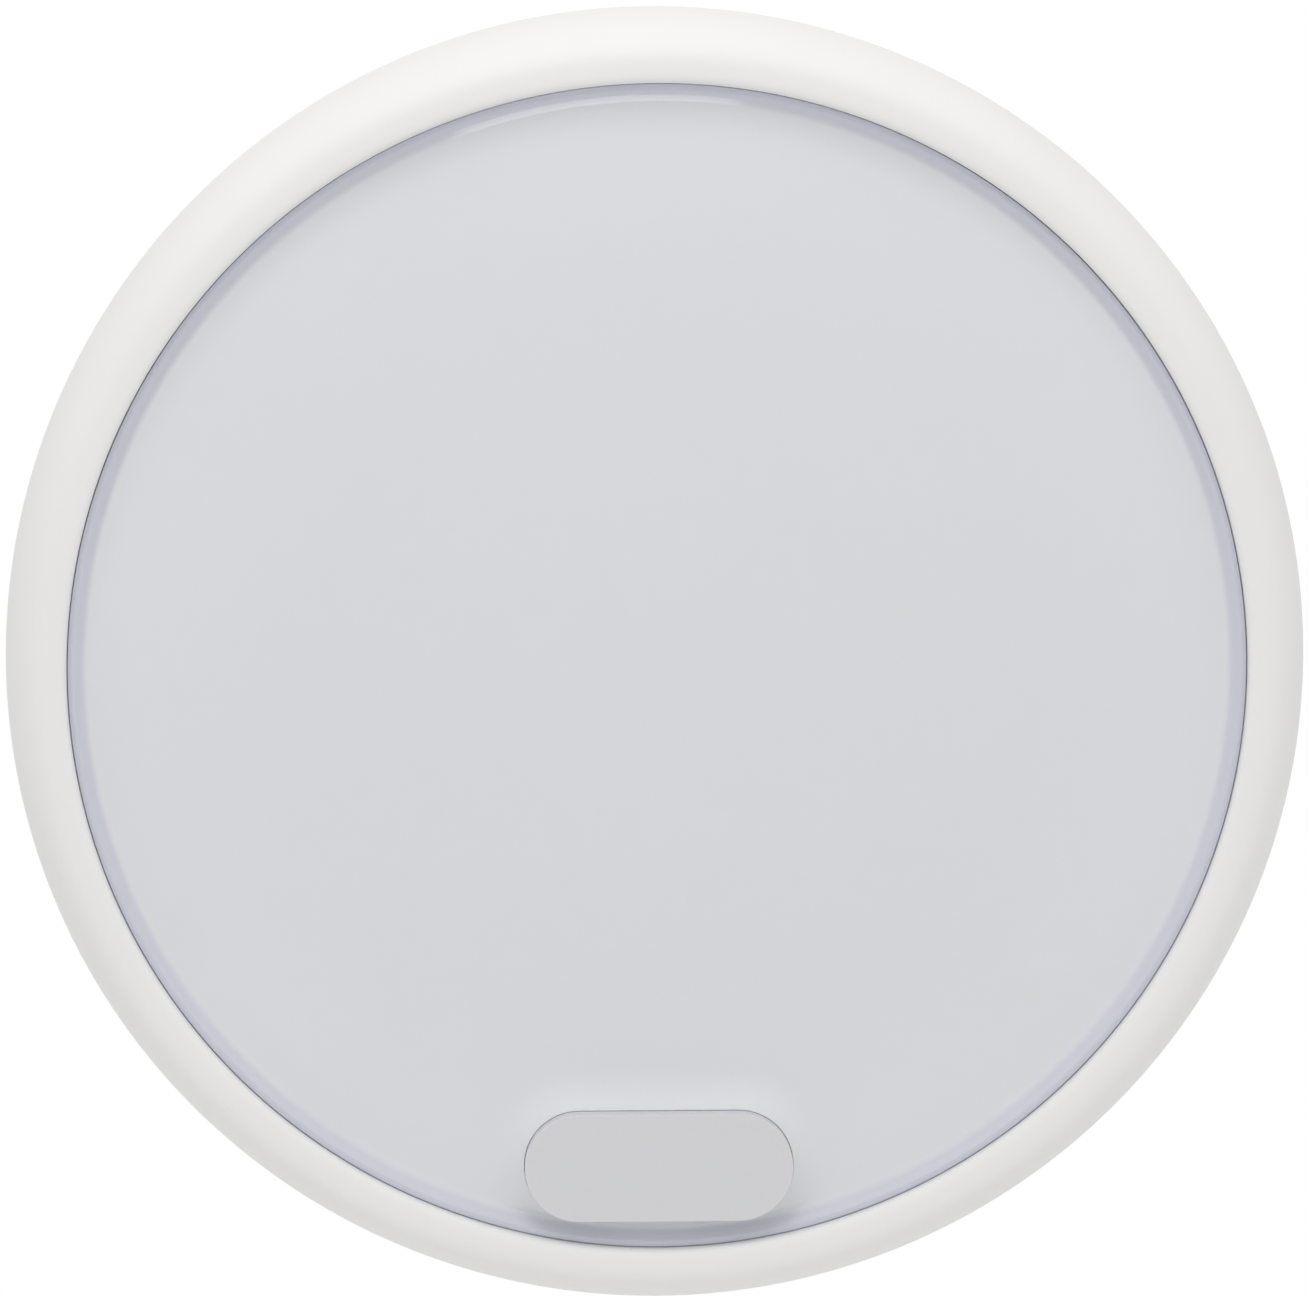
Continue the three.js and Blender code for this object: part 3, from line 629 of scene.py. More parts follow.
def guide_milky(colours):
    """Acrylic light guide with its grid of printed dots."""
    finish = Finish("guide_milky", 0.25)
    finish.set(Transmission_Weight=0.25, IOR=1.49)
    dots = finish.ranged(finish.cells(0.7 * MM), 1.0, 0.0, 0.22, 0.3)
    finish.colour(finish.blended(dots, (0.82, 0.85, 0.88), (0.97, 0.97, 0.96)))
    finish.rough(finish.ranged(dots, 0.18, 0.6))
    finish.bump(dots, 0.01 * MM, 0.4)
    return finish.material


def vial_clear(colours):
    """Clear acrylic of the level."""
    finish = Finish("vial_clear", 0.04)
    finish.set(Transmission_Weight=1.0, IOR=1.49)
    finish.shader.inputs["Base Color"].default_value = (0.97, 0.98, 0.98, 1)
    drawn = finish.noise(0.6 * MM, detail=2, place=finish.stretched((0.1, 1, 1)))
    finish.rough(finish.ranged(drawn, 0.02, 0.08))
    finish.bump(drawn, 0.003 * MM, 0.3)
    return finish.material


def level_fluid(colours):
    """Tinted liquid of the level."""
    finish = Finish("level_fluid", 0.03)
    finish.set(Transmission_Weight=0.7, IOR=1.36)
    depth = finish.noise(3 * MM, detail=1)
    finish.colour(finish.blended(depth, colours.fluid, shade(colours.fluid, 1.25)))
    finish.rough(finish.ranged(depth, 0.02, 0.06))
    return finish.material


def chip_black(colours):
    """Moulded epoxy of the chips."""
    finish = Finish("chip_black", 0.5)
    speck = finish.noise(0.12 * MM, detail=2)
    finish.colour(finish.blended(speck, (0.016, 0.016, 0.018), (0.04, 0.04, 0.042)))
    finish.rough(finish.ranged(speck, 0.42, 0.62))
    finish.bump(speck, 0.008 * MM, 0.5)
    return finish.material


def ceramic_tan(colours):
    """Fired ceramic body of the small capacitors."""
    finish = Finish("ceramic_tan", 0.4)
    grain = finish.noise(0.2 * MM, detail=3)
    finish.colour(finish.blended(grain, (0.36, 0.24, 0.14), (0.5, 0.36, 0.23)))
    finish.rough(finish.ranged(grain, 0.3, 0.5))
    finish.bump(grain, 0.005 * MM, 0.4)
    return finish.material


def solder(colours):
    """Dull tinned ends and solder fillets."""
    finish = Finish("solder", 0.35, 1.0)
    frost = finish.noise(0.3 * MM, detail=4)
    finish.colour(finish.blended(frost, (0.55, 0.55, 0.57), (0.76, 0.76, 0.78)))
    finish.rough(finish.ranged(frost, 0.22, 0.5))
    finish.bump(frost, 0.01 * MM, 0.5)
    return finish.material


FINISHES = {}


def finish_named(make):
    """A finish, made once and shared by the pieces that have it."""
    if make.__name__ not in FINISHES:
        FINISHES[make.__name__] = make(bpy.context.scene.thermostat_colours)
    return FINISHES[make.__name__]


# ------------------------------------------------------------------ settings


def length(name, description, default):
    return bpy.props.FloatProperty(name=name, description=description, default=default, unit="LENGTH")


def angle(name, description, degrees):
    return bpy.props.FloatProperty(
        name=name, description=description, default=math.radians(degrees), subtype="ANGLE"
    )


def squareness(name, description, default, highest):
    return bpy.props.FloatProperty(
        name=name, description=description, default=default, min=1.5, max=highest
    )


def tint(name, description, default):
    return bpy.props.FloatVectorProperty(
        name=name, description=description, default=default, subtype="COLOR", size=3
    )


class ThermostatSizes(bpy.types.PropertyGroup):
    crest_squareness: squareness(
        "Crest squareness", "How square the ring's outer curve is: 2 is an ellipse", 2.25, 4.0
    )
    ring_crown: length("Ring crown", "How far the ring's widest circle lies behind its crest", 7.6 * MM)
    lip_roll: length("Lip roll", "How far the ring rolls down into the opening for the lens", 0.8 * MM)
    lip_squareness: squareness(
        "Lip squareness", "How square the roll into the opening is: 2 is an ellipse", 3.5, 6.0
    )
    lens_drop: length("Lens drop", "How far the lens's dome falls from its centre to its edge", 1.1 * MM)
    lens_chamfer: angle("Lens chamfer", "Slope of the narrow chamfer round the lens", 26)
    swell_spread: length("Swelling spread", "How far the disc's swelling spreads round the window", 2.6 * MM)
    swell_rise: length("Swelling rise", "How far the disc swells up round the window", 0.95 * MM)


class ThermostatColours(bpy.types.PropertyGroup):
    shell: tint("Shell", "Ring and housing", (0.868, 0.86, 0.853))
    inner: tint("Inner mouldings", "Wall base and trays", (0.78, 0.78, 0.77))
    lens: tint("Lens", "Tint of the clear lens", (0.985, 0.99, 1.0))
    disc: tint("Disc", "Frosted disc behind the lens", (0.815, 0.805, 0.795))
    # Painted shade: this darker, bluish colour stands in for the dark gap that the lens's edge refracts onto
    # the disc's rim.
    painted_rim_shade: tint("Disc rim", "Shaded rim of the disc, under the lens's edge", (0.68, 0.68, 0.73))
    window: tint("Window", "Occupancy sensor's window", (0.70, 0.698, 0.715))
    board: tint("Circuit boards", "Coat of the circuit boards", (0.012, 0.075, 0.035))
    fluid: tint("Level liquid", "Tint of the bubble level", (0.62, 0.85, 0.08))


class ThermostatStage(bpy.types.PropertyGroup):
    azimuth: angle("Azimuth", "Camera's angle round the thermostat, from straight in front", -1.8)
    elevation: angle("Elevation", "Camera's angle above the horizon", 9.4)
    distance: length("Distance", "From the camera to the ring's widest circle", 400 * MM)
    aim: bpy.props.FloatVectorProperty(
        name="Aim",
        description="Where the camera looks, from the middle of the ring's widest circle",
        default=(-0.08 * MM, 0.0, 0.5 * MM),
        subtype="TRANSLATION",
        unit="LENGTH",
        size=3,
    )
    lens: bpy.props.FloatProperty(
        name="Focal length", description="Camera's focal length in millimetres", default=175.8
    )


# ------------------------------------------------------------------ shared shapes


def window_distance(x, z):
    """How far a place lies outside the window's opening, negative inside it."""
    low, high = box("occupancy_window")
    half = (high.z - low.z) / 2
    straight = (high.x - low.x) / 2 - half
    across = max(abs(x) - straight, 0.0)
    return math.hypot(across, z - middle("occupancy_window").z) - half - CLEARANCE


def swelling(x, z, sizes):
    """How far the disc swells up towards the front at a place."""
    share = 1 - max(window_distance(x, z), 0.0) / sizes.swell_spread
    return sizes.swell_rise * max(share, 0.0) ** 2.2


def window_opening(margin=CLEARANCE):
    """The window's outline, grown by a margin."""
    low, high = box("occupancy_window")
    width = high.x - low.x + 2 * margin
    height = high.z - low.z + 2 * margin
    return rectangle(width, height, height / 2, (0.0, middle("occupancy_window").z), steps=16)


def wire_opening(steps):
    """The outline of the way through for the wires, as the record states it."""
    low, high = frame["record"]["physics"]["openings"][0]["box_m"]
    width, height = high[0] - low[0] + 2 * WIRE_ROOM, high[2] - low[2] + 2 * WIRE_ROOM
    return rectangle(width, height, 3 * MM, (0, (low[2] + high[2]) / 2), steps)


def swollen(mesh, sizes, picked):
    """Refines a turned mesh near the window and lifts the picked vertices over the swelling."""
    build = bmesh.new()
    build.from_mesh(mesh)
    bpy.data.meshes.remove(mesh)
    for _ in range(2):
        near = [
            edge
            for edge in build.edges
            if all(window_distance(v.co.x, v.co.z) < 1.25 * sizes.swell_spread for v in edge.verts)
            and all(picked(v.co) for v in edge.verts)
        ]
        bmesh.ops.subdivide_edges(build, edges=near, cuts=1, use_grid_fill=True)
    for vertex in build.verts:
        if picked(vertex.co):
            vertex.co.y -= swelling(vertex.co.x, vertex.co.z, sizes)
    return as_mesh("swollen", build)


def screw_mesh(node, tip_first):
    """A pan-head screw with a cross recess and a threaded shank, standing where a node does."""
    low, high = box(node)
    back, front = -high.y, -low.y
    head = (high.x - low.x) / 2
    shank = head * 0.4
    head_height = head * 0.24
    if tip_first:
        tip, seat, top = back, front - head_height, front
    else:
        tip, seat, top = front, back + head_height, back
    way = 1 if top > seat else -1
    section = [(0.0, tip), (shank * 0.45, tip)]
    turns = 9
    start = tip + way * shank
    pitch = (seat - start) / turns
    for turn in range(turns):
        root = start + turn * pitch
        section += [(shank * 0.74, root), (shank, root + pitch * 0.5)]
    section += [
        (shank * 0.74, seat),
        (head * 0.97, seat),
        (head, seat + way * head_height * 0.25),
        (head * 0.93, seat + way * head_height * 0.62),
        (head * 0.72, seat + way * head_height * 0.9),
        (head * 0.4, top),
        (0.0, top),
    ]
    body = revolved(section, 32)
    arm = head * 0.52
    slim = head * 0.13
    floor = top - way * head_height * 0.75
    above = top + way * head_height
    cross = [
        block((-arm, -max(floor, above), -slim), (arm, -min(floor, above), slim)),
        block((-slim, -max(floor, above), -arm), (slim, -min(floor, above), arm)),
    ]
    mesh = carved(body, cross)
    place = middle(node)
    mesh.transform(Matrix.Translation((place.x, 0, place.z)) @ Matrix.Rotation(0.3 + place.x * 90, 4, "Y"))
    return mesh


def add_screws(nodes, body, tip_first):
    for node in nodes:
        add_piece(f"{node}_body", screw_mesh(node, tip_first), body, steel, [node])


# ------------------------------------------------------------------ operators: front


class THERMOSTAT_OT_control_ring(bpy.types.Operator):
    """Builds the smooth white control ring"""

    bl_idname = "thermostat.control_ring"
    bl_label = "Control ring"

    def execute(self, context):
        sizes = context.scene.thermostat_sizes
        back, front = span("control_ring")
        outer = reach("control_ring")
        bore = reach("ring_carrier") + CLEARANCE
        lip = reach("front_lens") + LENS_GROWTH + LENS_GAP
        lip_back = span("ring_bearing")[1] + 0.4 * MM
        widest = front - sizes.ring_crown
        crest = outer - 2.9 * MM
        power = 2 / sizes.crest_squareness
        roll = 2 / sizes.lip_squareness
        steps = 22
        heel = (outer - 0.78 * MM, back, 0.45 * MM)
        section = rounded([(bore, back), heel, (outer - 0.6 * MM, back + 1.2 * MM)], 5)[:-1]
        corner = section[-1]
        section += [
            (outer - 0.62 * MM * ((widest - depth) / (widest - back)) ** 2, depth)
            for depth in (corner[1] + (widest - corner[1]) * i / 12 for i in range(1, 12))
        ]
        for i in range(steps + 1):
            turn = math.pi / 2 * i / steps
            section.append(
                (
                    crest + (outer - crest) * math.cos(turn) ** power,
                    widest + (front - widest) * math.sin(turn) ** power,
                )
            )
        for i in range(1, 15):
            turn = math.pi / 2 * i / 14
            inward = (crest - lip) * math.sin(turn) ** roll
            section.append((crest - inward, front - sizes.lip_roll * (1 - math.cos(turn) ** roll)))
        section += [(lip, lip_back), (bore, lip_back)]
        add_piece(
            "ring_shell",
            revolved(section),
            "control_ring",
            ring_white,
            ["control_ring"],
            smooth=50
        )
        return {"FINISHED"}


class THERMOSTAT_OT_ring_carrier(bpy.types.Operator):
    """Builds the ring's inner carrier with its sensor teeth, and the bearing it runs on"""

    bl_idname = "thermostat.ring_carrier"
    bl_label = "Ring carrier and bearing"

    def execute(self, context):
        back, front = span("ring_carrier")
        outer = reach("ring_carrier")
        inner = outer - 0.7 * MM
        shoulder = outer - 1.9 * MM
        shoulder_back = front - 1.9 * MM
        section = rounded(
            [
                (shoulder, shoulder_back, 0.2 * MM),
                (shoulder, front, 0.2 * MM),
                (outer, front, 0.15 * MM),
                (outer, back, 0.15 * MM),
                (inner, back, 0.15 * MM),
                (inner, shoulder_back),
            ],
            2,
        )
        band = revolved(section, 288)
        teeth = [
            block((inner - 1 * MM, -back - 1.5 * MM, -0.55 * MM), (outer + 1 * MM, -back + 1 * MM, 0.55 * MM))
            for _ in range(72)
        ]
        for tooth, turn in zip(teeth, around(72, math.pi / 144)):
            tooth.transform(Matrix.Rotation(turn, 4, "Y"))
        mesh = carved(band, [gathered(teeth)])
        add_piece("carrier_band", mesh, "control_ring", dark_plastic, ["ring_carrier"])
        back, front = span("ring_bearing")
        outer = reach("ring_bearing")
        inner = reach("head_frame") + CLEARANCE
        section = rounded(
            [
                (inner, back, 0.2 * MM),
                (outer, back, 0.3 * MM),
                (outer, front, 0.3 * MM),
                (inner, front, 0.2 * MM),
            ]
        )
        gap = block((inner - 1 * MM, -front - 1 * MM, -0.5 * MM), (outer + 1 * MM, -back + 1 * MM, 0.5 * MM))
        mesh = carved(revolved(section, 192), [gap])
        add_piece("bearing_slip_ring", mesh, "press_head", slip_plastic, ["ring_bearing"])
        return {"FINISHED"}


class THERMOSTAT_OT_front_lens(bpy.types.Operator):
    """Builds the clear domed lens, hollowed over the disc's rim and swelling"""

    bl_idname = "thermostat.front_lens"
    bl_label = "Front lens"

    def execute(self, context):
        sizes = context.scene.thermostat_sizes
        back, apex = span("front_lens")
        outer = reach("front_lens") + LENS_GROWTH
        shoulder = outer - 0.5 * MM
        ledge = back + RIM_RISE

        def dome(radius):
            return apex - sizes.lens_drop * (radius / shoulder) ** 2

        inside = [(0.0, back)] + [(outer * share / 60, back) for share in range(1, 57)]
        step = rounded(
            [
                (outer - RIM_WIDTH, back),
                (outer - 1.3 * MM, back + 0.3 * MM, 0.3 * MM),
                (outer - 0.9 * MM, ledge, 0.2 * MM),
                (outer, ledge, 0.05 * MM),
            ],
            3,
        )
        brow = outer - 1.0 * MM
        land = dome(brow) - 0.4 * MM * math.tan(sizes.lens_chamfer)
        edge = rounded(
            [
                (outer, ledge),
                (outer, land - 0.04 * MM, 0.1 * MM),
                (brow + 0.4 * MM, land, 0.06 * MM),
                (brow, dome(brow), 0.06 * MM),
                (brow - 0.3 * MM, dome(brow - 0.3 * MM)),
            ],
            4,
        )[1:]
        front = [
            (radius, dome(radius))
            for radius in (outer * share / 60 for share in range(57, 0, -1))
            if radius < brow - 0.35 * MM
        ]
        mesh = revolved(inside + step + edge + front + [(0.0, apex)])
        limit = outer - RIM_WIDTH

        def underside(place):
            return -place.y < back + 1e-6 and math.hypot(place.x, place.z) < limit + 1e-6

        mesh = swollen(mesh, sizes, underside)
        mesh = carved(mesh, [pulled(window_opening(), back - 2 * MM, apex + 1 * MM)])
        add_piece("lens_body", mesh, "press_head", lens_clear, ["front_lens"], smooth=30)
        return {"FINISHED"}


class THERMOSTAT_OT_diffuser(bpy.types.Operator):
    """Builds the frosted disc with its upturned rim and its swelling round the window"""

    bl_idname = "thermostat.diffuser"
    bl_label = "Frosted disc"

    def execute(self, context):
        sizes = context.scene.thermostat_sizes
        back = span("diffuser")[0]
        face = span("front_lens")[0] - CLEARANCE
        outer = reach("front_lens") + LENS_GROWTH
        rim_top = face + RIM_RISE
        foot = outer - 1.5 * MM
        plain = [(outer * share / 60, face) for share in range(1, 57)]
        rim = rounded(
            [
                (foot, face),
                (outer - 0.95 * MM, face + 0.05 * MM, 0.5 * MM),
                (outer - 0.4 * MM, rim_top, 0.12 * MM),
                (outer, rim_top, 0.12 * MM),
                (outer, back, 0.15 * MM),
                (outer - 2 * MM, back),
            ],
            5,
        )
        plain = [point for point in plain if point[0] < foot - 0.1 * MM]
        mesh = revolved([(0.0, face)] + plain + rim + [(0.0, back)])

        def topside(place):
            return abs(-place.y - face) < 1e-6 and math.hypot(place.x, place.z) < foot + 1e-6

        mesh = swollen(mesh, sizes, topside)
        mesh = carved(mesh, [pulled(window_opening(), back - 1 * MM, face + 3 * MM)])
        add_piece("frosted_disc", mesh, "press_head", frosted_disc, ["diffuser"], smooth=30)
        return {"FINISHED"}


class THERMOSTAT_OT_occupancy_window(bpy.types.Operator):
    """Builds the capsule-shaped window and the sensor behind it"""

    bl_idname = "thermostat.occupancy_window"
    bl_label = "Occupancy window"

    def execute(self, context):
        back, front = span("occupancy_window")
        shell = pulled(window_opening(CLEARANCE - SEAM), back, front)
        hollow = pulled(window_opening(-1 * MM), back - 1 * MM, front - 0.8 * MM)
        mesh = carved(shell, [hollow])
        piece = add_piece(
            "window_capsule",
            mesh,
            "press_head",
            window_grey,
            ["occupancy_window"],
            edge=0.45 * MM,
        )
        piece.modifiers["edges"].segments = 4
        low, high = box("occupancy_sensor")
        radius = (high.x - low.x) / 2
        rear, top = span("occupancy_sensor")
        section = rounded(
            [
                (0.0, rear),
                (radius, rear, 0.1 * MM),
                (radius, rear + 0.5 * MM, 0.1 * MM),
                (radius * 0.9, rear + 0.5 * MM, 0.1 * MM),
                (radius * 0.9, top, 0.4 * MM),
                (radius * 0.62, top),
                (radius * 0.58, top - 0.15 * MM),
                (0.0, top - 0.15 * MM),
            ],
            3,
        )
        can = revolved(section, 64)
        place = middle("occupancy_sensor")
        can.transform(Matrix.Translation((place.x, 0, place.z)))
        add_piece("sensor_can", can, "press_head", steel, ["occupancy_sensor"])
        pane = pulled(
            rectangle(radius, radius * 0.8, 0.1 * MM, (place.x, place.z)),
            top - 0.14 * MM,
            top - 0.05 * MM,
        )
        add_piece("sensor_pane", pane, "press_head", display_black, edge=0.03 * MM)
        return {"FINISHED"}


class THERMOSTAT_OT_display_stack(bpy.types.Operator):
    """Builds the display glass, its light guide, and the trays that carry them"""

    bl_idname = "thermostat.display_stack"
    bl_label = "Display stack"

    def execute(self, context):
        back, front = span("display_panel")
        outer = reach("display_panel")
        ledge = box("display_panel")[0].z * 0.86
        glass = revolved(
            rounded([(0.0, back), (outer, back, 0.1 * MM), (outer, front, 0.15 * MM), (0.0, front)], 2),
            160,
        )
        step = block(
            (-outer - 1 * MM, -front - 1 * MM, -outer - 1 * MM), (outer + 1 * MM, -back - 0.8 * MM, ledge)
        )
        glass = carved(glass, [step])
        add_piece(
            "display_glass_disc", glass, "press_head", display_black, ["display_panel"]
        )
        driver = pulled(
            rectangle(13 * MM, 1.4 * MM, 0.1 * MM, (0, ledge - 1.2 * MM)),
            back + 0.8 * MM,
            back + 1.3 * MM,
        )
        add_piece("display_driver", driver, "press_head", chip_black, edge=0.05 * MM)
        back, front = span("light_guide")
        outer = reach("light_guide")
        notches = [
            pulled(
                disc(0.9 * MM, (outer * math.cos(t), outer * math.sin(t)), 20),
                back - 1 * MM,
                front + 1 * MM,
            )
            for t in around(12, math.pi / 12)
        ]
        guide = carved(
            revolved(
                rounded(
                    [(0.0, back), (outer, back, 0.08 * MM), (outer, front, 0.08 * MM), (0.0, front)], 2
                ),
                160,
            ),
            notches,
        )
        add_piece("guide_plate", guide, "press_head", guide_milky, ["light_guide"])
        dress("head_frame", satin_white, 0.2 * MM)
        dress("core_chassis", satin_white, 0.15 * MM)
        return {"FINISHED"}


# ------------------------------------------------------------------ operators: display unit


class THERMOSTAT_OT_rear_housing(bpy.types.Operator):
    """Builds the rear shell with its recess, vents, clip windows and screw seats"""

    bl_idname = "thermostat.rear_housing"
    bl_label = "Rear housing"

    def execute(self, context):
        back, front = span("rear_housing")
        outer = reach("rear_housing")
        step = span("control_ring")[0] - 1.0 * MM
        sleeve = reach("core_chassis") + 0.2 * MM
        recess = reach("base_cover") + 0.6 * MM
        floor = span("base_cover")[1] + 0.6 * MM
        floor_front = floor + 2.0 * MM
        wall = recess + 1.4 * MM
        lip = back + 1.6 * MM
        section = rounded(
            [
                (0.0, floor),
                (recess, floor, 0.3 * MM),
                (recess, back + 0.4 * MM, 0.3 * MM),
                (recess + 0.4 * MM, back, 0.15 * MM),
                (outer, back, 0.7 * MM),
                (outer, step, 0.3 * MM),
                (sleeve, step, 0.15 * MM),
                (sleeve, front, 0.15 * MM),
                (sleeve - 1.3 * MM, front, 0.1 * MM),
                (sleeve - 1.3 * MM, step + 1.2 * MM, 0.2 * MM),
                (outer - 1.6 * MM, step + 0.8 * MM, 0.2 * MM),
                (outer - 1.6 * MM, lip, 0.2 * MM),
                (wall, lip, 0.2 * MM),
                (wall, floor_front, 0.3 * MM),
                (0.0, floor_front),
            ],
            4,
        )
        shell = revolved(section, 192)
        behind, ahead = floor - 1 * MM, floor_front + 1 * MM
        cuts = [
            pulled(rectangle(23.2 * MM, 10.2 * MM, 0.8 * MM), behind, ahead),
            pulled(rectangle(8.6 * MM, 3.8 * MM, 0.8 * MM, (0, middle("usb_socket").z)), behind, ahead),
            block((35 * MM, -front - 1 * MM, -3.2 * MM), (38 * MM, -13.6 * MM, 3.2 * MM)),
            block((recess - 0.6 * MM, -8.8 * MM, -3.3 * MM), (recess + 1.6 * MM, -4.8 * MM, 3.3 * MM)),
            block((-recess - 1.6 * MM, -8.8 * MM, -3.3 * MM), (0.6 * MM - recess, -4.8 * MM, 3.3 * MM)),
        ]
        for node in numbered("housing_screw", 3):
            place = middle(node)
            cuts.append(pulled(disc(1.4 * MM, (place.x, place.z)), behind, ahead))
            cuts.append(pulled(disc(2.7 * MM, (place.x, place.z), 48), behind, floor + 1.1 * MM))
        for side in (1, -1):
            for column in range(-2, 3):
                slot = rectangle(1.2 * MM, 2.2 * MM, 0.6 * MM, (column * 3 * MM, side * 34.7 * MM))
                cuts.append(pulled(slot, back - 1 * MM, lip + 0.1 * MM))
        mesh = carved(shell, cuts)
        add_piece(
            "housing_shell",
            mesh,
            "display_unit",
            shell_white,
            ["rear_housing"],
            edge=0.12 * MM,
        )
        add_screws(numbered("housing_screw", 3), "display_unit", tip_first=False)
        return {"FINISHED"}


class THERMOSTAT_OT_retaining_clips(bpy.types.Operator):
    """Gives the two spring clips their finish"""

    bl_idname = "thermostat.retaining_clips"
    bl_label = "Retaining clips"

    def execute(self, context):
        for side in ("right", "left"):
            dress(f"retaining_clip_{side}", spring_steel, 0.1 * MM)
        return {"FINISHED"}


class THERMOSTAT_OT_press_springs(bpy.types.Operator):
    """Winds the three compression springs behind the front"""

    bl_idname = "thermostat.press_springs"
    bl_label = "Press springs"

    def execute(self, context):
        for node in numbered("press_spring", 3):
            low, high = box(node)
            back, front = span(node)
            wire = 0.25 * MM
            coil = (high.x - low.x) / 2 - wire
            centre = middle(node)
            turns, steps, sides = 4.5, 30, 10
            count = int(turns * steps)
            build = bmesh.new()
            rings = []
            for i in range(count + 1):
                share = i / count
                turn = 2 * math.pi * turns * share
                rise = min(max((share - 0.16) / 0.68, 0.0), 1.0)
                depth = back + wire + (front - back - 2 * wire) * rise
                out = Vector((math.cos(turn), 0, math.sin(turn)))
                hub = Vector((centre.x, -depth, centre.z)) + out * coil
                rings.append(
                    [
                        build.verts.new(
                            hub + out * wire * math.cos(t) + Vector((0, wire * math.sin(t), 0))
                        )
                        for t in around(sides)
                    ]
                )
            for one, two in zip(rings, rings[1:]):
                for i in range(sides):
                    j = (i + 1) % sides
                    build.faces.new([one[i], one[j], two[j], two[i]])
            build.faces.new(rings[0])
            build.faces.new(rings[-1][::-1])
            coil_mesh = as_mesh(node, build)
            piece = add_piece(f"{node}_coil", coil_mesh, "display_unit", spring_steel, [node])
            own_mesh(piece)
        return {"FINISHED"}


def board_parts(name, body, depth, spots, seed):
    """Chips, capacitors and their solder joints on a board's front, at (x, z, width, height, tall) spots."""
    draw = random.Random(seed)
    chips, capacitors, joints = [], [], []
    for x, z, width, height, tall in spots:
        foot = depth + 0.06 * MM
        if width > 2.2 * MM:
            chips.append(pulled(rectangle(width, height, 0.1 * MM, (x, z), 2), foot, foot + tall))
            legs = int((width - 0.6 * MM) / (0.65 * MM))
            for i in range(legs + 1):
                leg = x - legs * 0.325 * MM + i * 0.65 * MM
                for side in (1, -1):
                    edge = z + side * (height / 2 + 0.25 * MM)
                    joints.append(
                        pulled(
                            rectangle(0.3 * MM, 0.6 * MM, 0.08 * MM, (leg, edge), 1),
                            foot,
                            foot + 0.16 * MM,
                        )
                    )
        else:
            turn = draw.choice((True, False))
            w, h = (width, height) if turn else (height, width)
            capacitors.append(pulled(rectangle(w, h, 0.05 * MM, (x, z), 1), foot, foot + tall))
            for side in (1, -1):
                dx, dz = (side * w * 0.5, 0) if turn else (0, side * h * 0.5)
                size = (0.36 * MM, h + 0.14 * MM) if turn else (w + 0.14 * MM, 0.36 * MM)
                joints.append(
                    pulled(
                        rectangle(*size, 0.05 * MM, (x + dx, z + dz), 1),
                        foot - 0.02 * MM,
                        foot + tall * 0.75,
                    )
                )
    if chips:
        add_piece(f"{name}_chips", gathered(chips), body, chip_black, edge=0.06 * MM)
    if capacitors:
        add_piece(
            f"{name}_capacitors", gathered(capacitors), body, ceramic_tan, edge=0.04 * MM
        )
    if joints:
        add_piece(f"{name}_solder", gathered(joints), body, solder, edge=0.03 * MM)


def scattered(count, allowed, size, seed, inside):
    """Spots for small parts on a board, kept apart from each other."""
    draw = random.Random(seed)
    spots = []
    for _ in range(count * 30):
        x, z = draw.uniform(-inside, inside), draw.uniform(-inside, inside)
        if allowed(x, z) and all(math.hypot(x - s[0], z - s[1]) > 2.4 * size for s in spots):
            spots.append((x, z, size, size * 0.55, size * 0.45))
        if len(spots) == count:
            break
    return spots


